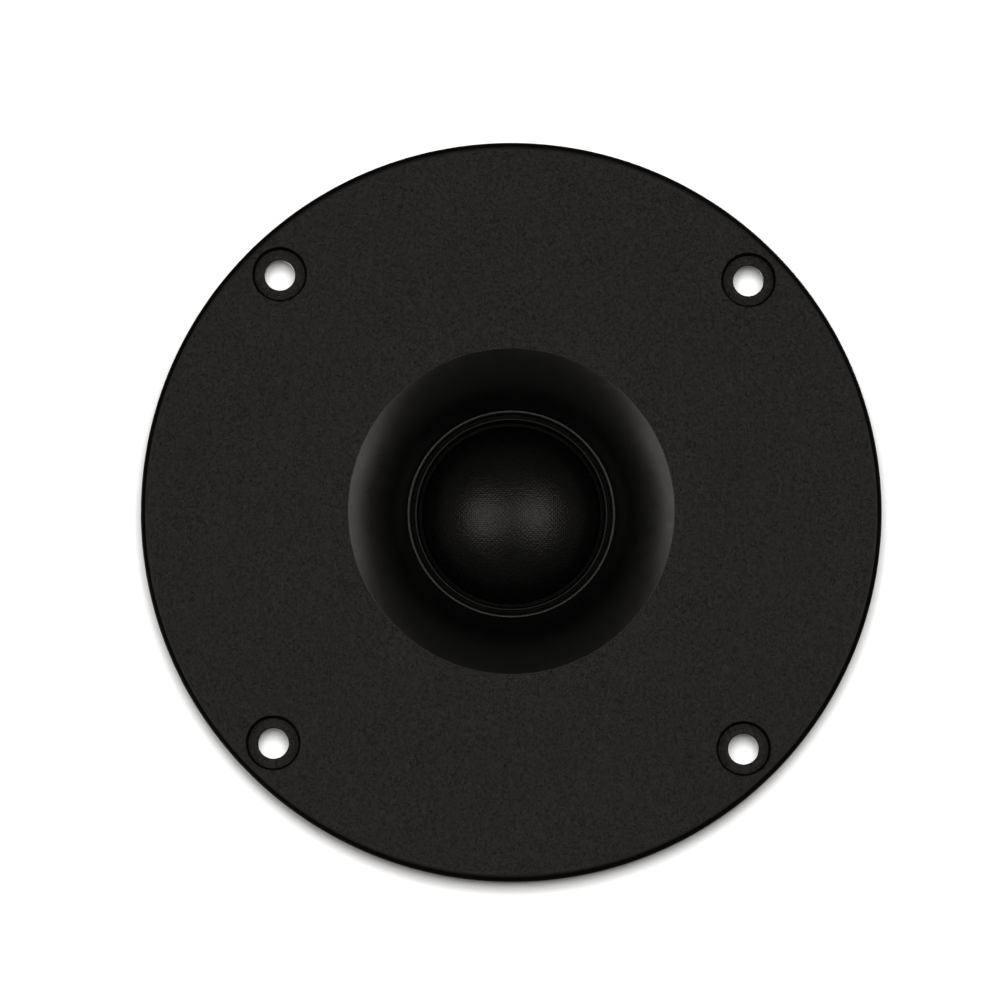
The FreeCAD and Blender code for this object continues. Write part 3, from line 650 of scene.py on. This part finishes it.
def combine(piece, shape, operation):
    """Cut a shape out of a piece (DIFFERENCE) or join it on (UNION)."""
    tool = new_object("tool", shape)
    modifier = piece.modifiers.new("boolean", "BOOLEAN")
    modifier.operation = operation
    modifier.solver = "MANIFOLD"
    modifier.object = tool
    bpy.context.view_layer.update()
    before = piece.data
    evaluated = piece.evaluated_get(bpy.context.evaluated_depsgraph_get())
    piece.data = bpy.data.meshes.new_from_object(evaluated)
    piece.modifiers.remove(modifier)
    bpy.data.meshes.remove(before)
    bpy.data.objects.remove(tool)


def finish_piece(piece, body, slot, materials, *nodes):
    """Smooth shading, materials, and the body and CAD nodes that the piece goes with; the slot argument is
    not used.

    A piece that flexes between the two bodies has no body of its own.
    """
    piece.data.shade_smooth()
    piece.data.set_sharp_from_angle(angle=SHARP)
    even = piece.modifiers.new("weighted_normals", "WEIGHTED_NORMAL")
    even.keep_sharp = True
    piece.data.materials.clear()
    for material in materials:
        piece.data.materials.append(material)
    if body is None:
        flex(piece)
    else:
        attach(piece, body)
    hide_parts(*nodes)


def flex(piece):
    """The piece goes with the diaphragm inside the surround's roll, and stays put outside it."""
    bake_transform(piece, FIXED, MOVING, (0, -ROLL_OUTER_R, RIM_Z), (0, -ROLL_INNER_R, RIM_Z))
    shares = piece.data.attributes["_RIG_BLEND"].data
    for vertex, share in zip(piece.data.vertices, shares):  # the roll is round, not straight
        inward = (ROLL_OUTER_R - vertex.co.xy.length) / (ROLL_OUTER_R - ROLL_INNER_R)
        inward = min(1.0, max(0.0, inward))
        share.value = inward * inward * (3 - 2 * inward)


def softened_copy(node, width):
    """A copy of a CAD node's mesh with its edges rounded by a width."""
    shape = bmesh.new()
    shape.from_mesh(NODES[node].data)
    bmesh.ops.remove_doubles(shape, verts=shape.verts, dist=0.001 * MM)
    flat_enough = math.radians(0.5)
    bmesh.ops.dissolve_limit(
        shape, angle_limit=flat_enough, verts=shape.verts, edges=shape.edges
    )
    edges = [e for e in shape.edges if e.is_manifold and e.calc_face_angle() > SHARP]
    bmesh.ops.bevel(
        shape, geom=edges, offset=width, segments=3, profile=0.5, affect="EDGES",
        clamp_overlap=True,
    )
    return new_object(f"{node}_rounded", shape)


def rough_surface(size, depth):
    """A warp that moves points by smooth noise of a feature size, up to a depth."""

    def warp(point):
        at = point / size
        return point + noise.noise_vector(at) * depth

    return warp


# ---------------------------------------------------------------- faceplate


def faceplate_outline():
    throat = Vector((THROAT_R, RING_Z + THROAT_LAND))
    mouth = Vector((MOUTH_R, FACE_Z))
    horn = bulging_arc(throat, mouth, HORN_BEND_R, 36)
    round_edge, small = 1.0 * MM, 0.12 * MM
    mouth_groove_z = FACE_Z - 0.07 * MM
    lip_z = throat.y + 0.15 * MM
    step_r = THROAT_R + 0.4 * MM
    seat_r = RING_R + 0.1 * MM
    plate_well_r = PLATE_R + 0.1 * MM
    corners = [
        (mouth.x, mouth.y, 0.05 * MM),
        (mouth.x + 0.05 * MM, mouth_groove_z, 0),
        (mouth.x + 0.12 * MM, mouth_groove_z, 0),
        (mouth.x + 0.17 * MM, FACE_Z, 0.02 * MM),
        (FLANGE_R, FACE_Z, round_edge),
        (FLANGE_R, WALL_Z, 0),
        (FLANGE_R, 0, 0.25 * MM),
        (RECESS_R, 0, 0.2 * MM),
        (RECESS_R, RECESS_Z, 0.4 * MM),
        (RECESS_INNER_R, RECESS_Z, 0.4 * MM),
        (RECESS_INNER_R, 0, small),
        (GROOVE_R, 0, small),
        (GROOVE_R, GROOVE_Z, 0),
        (GROOVE_INNER_R, GROOVE_Z, 0),
        (GROOVE_INNER_R, 0, small),
        (BOSS_R, 0, 0.2 * MM),
        (BOSS_R, BOSS_Z, 0.5 * MM),
        (plate_well_r, BOSS_Z, small),
        (plate_well_r, PLATE_Z, 0),
        (CORE_R, PLATE_Z, 0),
        (CORE_R, CORE_Z, 0.4 * MM),
        (CORE_INNER_R, CORE_Z, 0.4 * MM),
        (CORE_INNER_R, PLATE_Z, 0),
        (seat_r, PLATE_Z, 0),
        (seat_r, RING_Z, 0),
        (THROAT_R, RING_Z, 0.04 * MM),
        (THROAT_R, lip_z, 0.22 * MM),
        (step_r, lip_z, 0.04 * MM),
    ]
    corners += [(point.x, point.y, 0) for point in horn[:-1] if point.x > step_r]
    return rounded(corners)


def hole_cutter():
    """A counterbored hole with rounded lips, at the origin."""
    lip, above = 0.22 * MM, 1.0 * MM
    floor_z = FACE_Z - COUNTERBORE_DEPTH
    top = Vector((COUNTERBORE_R + lip, FACE_Z + 0.001 * MM))
    step = Vector((HOLE_R + lip, floor_z))
    foot = Vector((HOLE_R, lip))
    outline = [Vector((0, FACE_Z + above)), Vector((top.x, FACE_Z + above))]
    outline += arc(Vector((top.x, FACE_Z - lip)), top, Vector((COUNTERBORE_R, FACE_Z - lip)), 5)
    root = 0.42 * MM
    corner = Vector((COUNTERBORE_R - root, floor_z))
    outline += arc(corner + Vector((0, root)), corner + Vector((root, root)), corner, 7)
    outline += arc(step - Vector((0, lip)), step, step - Vector((lip, lip)), 5)
    outline += arc(foot + Vector((lip, 0)), foot, foot + Vector((lip, -lip - 0.001 * MM)), 5)
    outline += [Vector((HOLE_R + lip, -above)), Vector((0, -above))]
    return lathe(outline, 72)


def faceplate_additions():
    """Ribs behind the flange and in the core, and the bosses of both circles of holes."""
    root = 0.2 * MM
    everything = bmesh.new()
    for count, inner, outer, foot, top in (
        (12, RECESS_INNER_R, RECESS_R, 0.05 * MM, RECESS_Z),
        (6, CORE_INNER_R, CORE_R, PLATE_Z, CORE_Z),
    ):
        rib = bmesh.new()
        half = RIB_WIDTH / 2
        add_block(rib, (inner - root, -half, foot), (outer + root, half, top + root))
        bmesh.ops.bevel(
            rib, geom=rib.edges, offset=0.12 * MM, segments=2, profile=0.5, affect="EDGES"
        )
        join(everything, round_about(rib, count))
    hole_boss_r, screw_boss_r = 4.6 * MM, 3.2 * MM
    for radius, middle_r, foot, top in (
        (hole_boss_r, HOLE_CIRCLE_R, 0.02 * MM, RECESS_Z),
        (screw_boss_r, SCREW_CIRCLE_R, PLATE_Z, CORE_Z),
    ):
        high = top + root
        corners = [(0, foot, 0), (radius, foot, 0.15 * MM), (radius, high, 0), (0, high, 0)]
        boss = lathe(rounded(corners), 72)
        moved(boss, Matrix.Translation((middle_r, 0, 0)))
        join(everything, round_about(boss, HOLE_COUNT, FIRST_HOLE))
    return everything


def faceplate_cuts():
    """Fixing holes, screw pilots and the channel for the leads."""
    below = 1 * MM
    hole = moved(hole_cutter(), Matrix.Translation((HOLE_CIRCLE_R, 0, 0)))
    everything = round_about(hole, HOLE_COUNT, FIRST_HOLE)
    pilot_r, pilot_top = 1.3 * MM, PLATE_REAR_Z + 8.6 * MM
    low = PLATE_Z - below
    outline = [(0, low), (pilot_r, low), (pilot_r, pilot_top), (0, pilot_top)]
    pilot = lathe([Vector(corner) for corner in outline], 48)
    moved(pilot, Matrix.Translation((SCREW_CIRCLE_R, 0, 0)))
    join(everything, round_about(pilot, HOLE_COUNT, FIRST_HOLE))
    half, depth = 6 * MM, 1 * MM
    far_y, near_y = -CORE_INNER_R - 0.2 * MM, -16 * MM
    add_block(everything, (-half, far_y, low), (half, near_y, PLATE_Z + depth))
    return everything


def add_faceplate(bead_material):
    """The flange and its horn, with a material for each kind of surface."""
    piece = new_object("horn_faceplate", lathe(faceplate_outline()))
    combine(piece, faceplate_additions(), "UNION")
    combine(piece, faceplate_cuts(), "DIFFERENCE")
    materials = [grained_plastic(), smooth_plastic(), edge_plastic_with_painted_shade(), moulded_plastic()]
    materials.append(bead_material)
    finish_piece(piece, FIXED, "black_abs", materials, "faceplate")
    grained, smooth, edge, moulded, bead = range(5)
    rim_line_r, rim_edge_r = FLANGE_R - 0.95 * MM, FLANGE_R - 0.56 * MM
    front_z = RECESS_Z + 0.4 * MM
    holes = [
        Vector((math.cos(FIRST_HOLE * k), math.sin(FIRST_HOLE * k))) * HOLE_CIRCLE_R
        for k in range(1, 2 * HOLE_COUNT, 2)
    ]
    for face in piece.data.polygons:
        middle, z = face.center.xy, face.center.z
        radius = middle.length
        from_hole = min((middle - hole).length for hole in holes)
        if radius < CORE_INNER_R + 0.5 * MM:
            outside = face.normal.z > -0.1 and radius > THROAT_R - 0.02 * MM and z > RING_Z
            lip = radius < THROAT_R + 0.26 * MM
            face.material_index = (bead if lip else smooth) if outside else moulded
        elif rim_line_r < radius < rim_edge_r and z > front_z:
            face.material_index = bead
        elif radius > rim_edge_r:
            # painted shade on the flange's rounded rim
            face.material_index = edge if z > WALL_Z else moulded
        elif MOUTH_R < radius < MOUTH_R + 0.2 * MM and z < FACE_Z - 0.01 * MM:
            face.material_index = edge  # the groove round the mouth, darkened as painted shade
        elif from_hole < COUNTERBORE_R + 0.25 * MM and face.normal.z < 0.86 and z > RECESS_Z:
            # painted shade on the counterbores' lips, walls and bottom corners
            face.material_index = edge
        else:
            face.material_index = grained if z > front_z else moulded


# ---------------------------------------------------------------- soft parts


def add_gasket():
    low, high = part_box("flange_gasket")
    inner = 39.3 * MM
    corner = 0.45 * MM
    outline = rounded(
        [
            (inner, high.z, 0),
            (inner, low.z, corner),
            (high.x, low.z, corner),
            (high.x, high.z, 0),
        ],
        6,
    )
    shape = lathe(refined(outline, 0.35 * MM), 480, rough_surface(0.7 * MM, 0.05 * MM))
    piece = new_object("foam_gasket", shape)
    finish_piece(piece, FIXED, "foam", [foam()], "flange_gasket")


def add_felts():
    material = felt()
    radius, low, high = extent("dome_felt")
    outline = rounded([(0, low, 0), (radius, low, 0), (radius, high, 0.5 * MM), (0, high, 0)])
    pad = lathe(refined(outline, 0.5 * MM), 180, rough_surface(1.1 * MM, 0.06 * MM))
    pad = new_object("felt_pad_under_dome", pad)
    finish_piece(pad, FIXED, "felt", [material], "dome_felt")
    radius, low, high = extent("ring_felt")
    inner = 13.8 * MM
    corner = 0.3 * MM
    corners = [(inner, low, 0), (radius, low, 0), (radius, high, corner), (inner, high, corner)]
    ring = lathe(refined(rounded(corners), 0.5 * MM), 180, rough_surface(1.1 * MM, 0.05 * MM))
    ring = new_object("felt_ring_in_magnet", ring)
    finish_piece(ring, FIXED, "felt", [material], "ring_felt")


# ---------------------------------------------------------------- diaphragm


def add_dome():
    """A pressed silk dome, very slightly uneven as coated cloth is."""
    flange_r, under_z, top_z = extent("dome")
    height = top_z - RIM_Z
    sphere = (DOME_R**2 + height**2) / (2 * height)
    centre_z = top_z - sphere
    outer = arc(Vector((0, centre_z)), Vector((DOME_R, RIM_Z)), Vector((0, top_z)), 60)
    inner_r = sphere - DOME_SKIN
    foot = Vector((math.sqrt(inner_r**2 - (under_z - centre_z) ** 2), under_z))
    inner = arc(Vector((0, centre_z)), Vector((0, top_z - DOME_SKIN)), foot, 60)
    edge_r = flange_r + 0.035 * MM
    rim = [Vector((edge_r, under_z)), Vector((edge_r, RIM_Z))]

    def uneven(point):
        inward = max(0.0, 1 - math.hypot(point.x, point.y) / DOME_R)
        flat = Vector((point.x, point.y, 0))
        lift = noise.noise(flat / (4.5 * MM)) * 0.035 * MM
        lift += noise.noise(flat / (1.6 * MM)) * 0.006 * MM
        free = min(1.0, inward * 4)  # the glued rim stays true
        return point + Vector((0, 0, lift * free - 0.03 * MM * free))

    piece = new_object("silk_dome", lathe(rim + outer + inner, SEGMENTS, uneven))
    glued = silk("glued_silk", 0.04)
    finish_piece(piece, MOVING, "silk", [silk("dome_silk", 0.27), glued], "dome")
    for face in piece.data.polygons:
        face.material_index = int(face.center.xy.length > DOME_R - 0.12 * MM)


def add_surround():
    outer_r, under_z, crest_z = extent("surround")
    inner_r = 12.9 * MM
    height = crest_z - RIM_Z
    half, middle = (ROLL_OUTER_R - ROLL_INNER_R) / 2, (ROLL_OUTER_R + ROLL_INNER_R) / 2
    bend = (half**2 + height**2) / (2 * height)
    under = bend - SKIN
    half_under = math.sqrt(under**2 - (under - height) ** 2)
    top = bulging_arc(Vector((ROLL_INNER_R, RIM_Z)), Vector((ROLL_OUTER_R, RIM_Z)), bend, 28)
    below = bulging_arc(
        Vector((middle - half_under, under_z)), Vector((middle + half_under, under_z)), under, 28
    )
    outline = [Vector((inner_r, under_z)), Vector((inner_r, RIM_Z)), *top]
    outline += [Vector((outer_r, RIM_Z)), Vector((outer_r, under_z)), *reversed(below)]
    piece = new_object("silk_surround", lathe(outline))
    finish_piece(piece, None, "silk", [silk("surround_silk", 0.06)], "surround")


def add_diaphragm_ring(bead_material):
    """A ring whose inner lip ends in a bead, with a groove between it and the throat."""
    fine = 0.05 * MM
    bead_z = RING_Z - 0.12 * MM
    under_z = RING_Z - 0.65 * MM
    bead_r = LIP_R + 0.28 * MM
    clamp_r = 16 * MM
    corners = [
        (RING_R, RIM_Z, 0.1 * MM),
        (RING_R, RING_Z, 0.1 * MM),
        (THROAT_R - 0.02 * MM, RING_Z, fine),
        (THROAT_R - 0.12 * MM, RING_Z - 0.33 * MM, fine),
        (bead_r + 0.04 * MM, RING_Z - 0.4 * MM, fine),
        (bead_r, bead_z, 0.12 * MM),
        (LIP_R, bead_z, 0.13 * MM),
        (LIP_R, under_z, 0.1 * MM),
        (clamp_r, under_z, 0.1 * MM),
        (clamp_r, RIM_Z, 0.1 * MM),
    ]
    piece = new_object("clamping_ring", lathe(rounded(corners)))
    materials = [ring_plastic(), bead_material]
    finish_piece(piece, FIXED, "ring_plastic", materials, "diaphragm_ring")
    for face in piece.data.polygons:
        radius, z = face.center.xy.length, face.center.z
        if radius < bead_r + 0.01 * MM and z > bead_z - 0.25 * MM:
            face.material_index = 1


def add_helix(shape, radius, wire_r, low, high, turns):
    """A wire wound round the Z axis, as a closed tube."""
    steps, sides = 96, 8
    count = turns * steps
    rings = []
    for i in range(count + 1):
        angle, z = 2 * math.pi * i / steps, low + (high - low) * i / count
        outward = Vector((math.cos(angle), math.sin(angle), 0))
        ring = []
        for k in range(sides):
            around = 2 * math.pi * k / sides
            at = outward * (radius + wire_r * math.cos(around))
            ring.append(at + Vector((0, 0, z + wire_r * math.sin(around))))
        rings.append(ring)
    add_pipe(shape, rings)


def add_voice_coil():
    """Two layers of fine enamelled wire."""
    outer_r, low, high = extent("voice_coil")
    wire_r, layers, turns = 0.065 * MM, 2, 15
    slim_r = wire_r * 0.99  # keeps a hair's breadth between the turns
    shape = bmesh.new()
    for layer in range(layers):
        radius = outer_r - wire_r * (1 + 2 * layer)
        add_helix(shape, radius, slim_r, low + wire_r, high - wire_r, turns)
    piece = new_object("coil_winding", shape)
    wire = copper("enamelled_copper", 0.3, 0.6)
    finish_piece(piece, MOVING, "winding_wire", [wire], "voice_coil")


def add_tube(shape, points, radius):
    """A closed round tube along points that all have the same X."""
    sides = 12
    turns = [2 * math.pi * k / sides for k in range(sides)]
    across = Vector((1, 0, 0))
    rings = []
    for i, point in enumerate(points):
        along = (points[min(i + 1, len(points) - 1)] - points[max(i - 1, 0)]).normalized()
        up = along.cross(across)
        rings.append([point + (across * math.cos(t) + up * math.sin(t)) * radius for t in turns])
    add_pipe(shape, rings)


def add_leads():
    """Fine wires from the winding that arch over in the surround's roll, where they flex."""
    wire = copper("lead_copper", 0.3, 0.6)
    wire_r, start_r, start_z = 0.08 * MM, 12.95 * MM, -5.02 * MM
    crest_r, crest_z, foot_r = 14.15 * MM, -3.74 * MM, 15.4 * MM  # of the arch in the roll
    _, _, winding_z = extent("voice_coil")
    for node in ("lead_positive", "lead_negative"):
        low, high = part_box(node)
        x = (low.x + high.x) / 2
        run_z = high.z - (high.x - low.x) / 2
        end_r = math.hypot(low.y, x)
        corners = [
            (start_r, winding_z - 0.04 * MM, 0),
            (start_r, start_z, 0.25 * MM),
            (crest_r, crest_z, 0.6 * MM),
            (foot_r, run_z, 0.4 * MM),
            (end_r, run_z, 0),
        ]
        route = refined(rounded(corners, 14), 0.12 * MM)
        route = route[: route.index(max(route, key=lambda at: at.x)) + 1]
        shape = bmesh.new()
        points = [Vector((x, -math.sqrt(at.x**2 - x**2), at.y)) for at in route]
        add_tube(shape, points, wire_r)
        piece = new_object(node.replace("lead", "flexing_lead"), shape)
        finish_piece(piece, None, "winding_wire", [wire], node)


# ---------------------------------------------------------------- magnet system


def add_magnet():
    """A sintered ring whose edges have chipped a little in handling."""
    bore_r, chamfer = 16 * MM, 0.8 * MM
    brittle, grain, deepest = 1.5 * MM, 1.3 * MM, 0.5 * MM
    low, high = MAGNET_REAR_Z, PLATE_REAR_Z
    corners = [
        (bore_r, low, 0.2 * MM),
        (MAGNET_R - chamfer, low, 0.15 * MM),
        (MAGNET_R, low + chamfer, 0.15 * MM),
        (MAGNET_R, high - chamfer, 0.15 * MM),
        (MAGNET_R - chamfer, high, 0.15 * MM),
        (bore_r, high, 0.2 * MM),
    ]

    def chipped(point):
        radius = math.hypot(point.x, point.y)
        near_end = min(point.z - low, high - point.z)
        if radius < MAGNET_R - brittle or near_end > grain:
            return point
        at = point / grain
        bite = max(0.0, noise.noise(at) - 0.28) * 0.9 * MM
        bite += max(0.0, noise.noise(at * 2.7) - 0.3) * 0.35 * MM
        inward = Vector((-point.x / radius, -point.y / radius, 0))
        return point + inward * min(bite, deepest)

    shape = lathe(refined(rounded(corners, 4), 0.3 * MM), 480, chipped)
    piece = new_object("ferrite_ring", shape)
    finish_piece(piece, FIXED, "ferrite", [ferrite()], "magnet")


def add_yoke():
    dimple_r, dimple_depth = 11 * MM, 0.6 * MM
    pole_r, root = 12.25 * MM, 1.2 * MM
    plate_z = MAGNET_REAR_Z
    corners = [
        (0, FLOOR_Z + dimple_depth, 0),
        (dimple_r - dimple_depth, FLOOR_Z + dimple_depth, 0.5 * MM),
        (dimple_r, FLOOR_Z, 0.3 * MM),
        (YOKE_R, FLOOR_Z, 0.9 * MM),
        (YOKE_R, plate_z, 0.25 * MM),
        (pole_r, plate_z, root),
        (pole_r, POLE_Z, 0.1 * MM),
        (0, POLE_Z, 0),
    ]
    piece = new_object("yoke_plate_and_pole", lathe(rounded(corners)))
    finish_piece(piece, FIXED, "plated_steel", [zinc()], "yoke")


def add_top_plate():
    piece = softened_copy("top_plate", 0.08 * MM)
    finish_piece(piece, FIXED, "plated_steel", [zinc()], "top_plate")


# ---------------------------------------------------------------- screws and terminals


def screw_shape(head_z, seat_z, tip_z):
    """A pan-head screw with a cut thread, on the Z axis, head down."""
    head_r, core_r, crest_r, pitch = 2.75 * MM, 0.93 * MM, 1.25 * MM, 0.9 * MM
    round_head = 0.9 * MM
    segments, rows_per_turn, ridge_half = 36, 10, 0.28
    corners = [(0, head_z, 0), (head_r, head_z, round_head), (head_r, seat_z, 0.12 * MM)]
    head = rounded(corners + [(core_r, seat_z, 0)])
    tip, tip_r, neck_z = 0.8 * MM, 0.35 * MM, seat_z + 0.3 * MM
    count = round((tip_z - tip - seat_z) / pitch * rows_per_turn)
    shank = [
        Vector((core_r, seat_z + (tip_z - tip - seat_z) * (i + 1) / count)) for i in range(count)
    ]
    outline = head + shank + [Vector((tip_r, tip_z)), Vector((0, tip_z))]

    def threaded(point):
        radius = math.hypot(point.x, point.y)
        if point.z < neck_z or abs(radius - core_r) > 0.01 * MM:
            return point
        phase = (point.z / pitch - math.atan2(point.y, point.x) / (2 * math.pi)) % 1.0
        ridge = max(0.0, 1 - abs(phase - 0.5) / ridge_half)
        fade = min(1.0, (point.z - neck_z) / pitch, (tip_z - tip - point.z) / pitch + 0.2)
        scale = 1 + (crest_r / core_r - 1) * ridge * max(0.0, fade)
        return Vector((point.x * scale, point.y * scale, point.z))

    return lathe(outline, segments, threaded)


def drive_cutter(head_z):
    """One wedge of a cross recess, which narrows downwards."""
    wedge = bmesh.new()
    half_long, half_wide, depth, above = 1.45 * MM, 0.36 * MM, 1.1 * MM, 0.5 * MM
    narrow_long, narrow_wide = 0.45, 0.7
    high = (half_long, half_wide, head_z + depth)
    add_block(wedge, (-half_long, -half_wide, head_z - above), high)
    for vertex in wedge.verts:
        if vertex.co.z > head_z:
            vertex.co.x *= narrow_long
            vertex.co.y *= narrow_wide
    return wedge


def add_screws():
    low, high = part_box("faceplate_screws")
    piece = new_object("faceplate_screw_set", screw_shape(low.z, PLATE_REAR_Z, high.z))
    for turn in (0, math.pi / 2):
        combine(piece, moved(drive_cutter(low.z), Matrix.Rotation(turn, 4, "Z")), "DIFFERENCE")
    shape = bmesh.new()
    shape.from_mesh(piece.data)
    random.seed(7)
    everything = bmesh.new()
    for i in range(HOLE_COUNT):
        angle = 2 * math.pi * (i + 0.5) / HOLE_COUNT
        middle = (SCREW_CIRCLE_R * math.cos(angle), SCREW_CIRCLE_R * math.sin(angle), 0)
        spin = Matrix.Rotation(random.uniform(0, math.pi / 2), 4, "Z")
        join(everything, moved(shape.copy(), Matrix.Translation(middle) @ spin))
    shape.free()
    everything.to_mesh(piece.data)
    everything.free()
    finish_piece(piece, FIXED, "screw_steel", [black_zinc()], "faceplate_screws")


def add_terminals():
    block = softened_copy("terminal_block", 0.15 * MM)
    finish_piece(block, FIXED, "block_plastic", [nylon()], "terminal_block")
    brass = tinned_brass()
    for node in ("terminal_positive", "terminal_negative"):
        tab = softened_copy(node, 0.1 * MM)
        finish_piece(tab, FIXED, "tinned_brass", [brass], node)
    rivets = softened_copy("terminal_rivets", 0.05 * MM)
    finish_piece(rivets, FIXED, "rivet_steel", [nickel()], "terminal_rivets")


def add_solder():
    """Two tents of solder that run from the tab up the end of the lead."""
    low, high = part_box("solder_joints")
    foot_r, top_r = (high.z - low.z) / 2, 0.3 * MM
    height = high.y - low.y
    z = (high.z + low.z) / 2
    steps = 12
    outline = [Vector((0, 0)), Vector((foot_r, 0))]
    for i in range(1, steps):
        turn = math.pi / 2 * i / steps
        radius = foot_r - (foot_r - top_r) * math.sin(turn)
        outline.append(Vector((radius, height * (1 - math.cos(turn)))))
    outline += [Vector((top_r, height)), Vector((0, height))]
    everything = bmesh.new()
    for x in (low.x + foot_r, high.x - foot_r):
        shape = lathe(outline, 48, rough_surface(0.5 * MM, 0.015 * MM))
        turned = Matrix.Rotation(-math.pi / 2, 4, "X")
        join(everything, moved(shape, Matrix.Translation((x, low.y, z)) @ turned))
    piece = new_object("solder_tents", everything)
    finish_piece(piece, FIXED, "solder", [solder()], "solder_joints")


# ---------------------------------------------------------------- CAD nodes that stay


def dress(node, material):
    """Give a CAD node that stays a better material."""
    NODES[node].data.materials.clear()
    NODES[node].data.materials.append(material)


def dress_cad_nodes():
    dress("coil_former", foil())
    dress("copper_cap", copper("bare_copper", 0.34))
    dress("diaphragm_seal", sealing())


bpy.context.scene.view_settings.view_transform = "Standard"
add_camera()
add_lights()
add_world()
add_floor()
bead_look = bead_plastic()
add_faceplate(bead_look)
add_gasket()
add_felts()
add_dome()
add_surround()
add_diaphragm_ring(bead_look)
add_voice_coil()
add_leads()
add_magnet()
add_yoke()
add_top_plate()
add_screws()
add_terminals()
add_solder()
dress_cad_nodes()
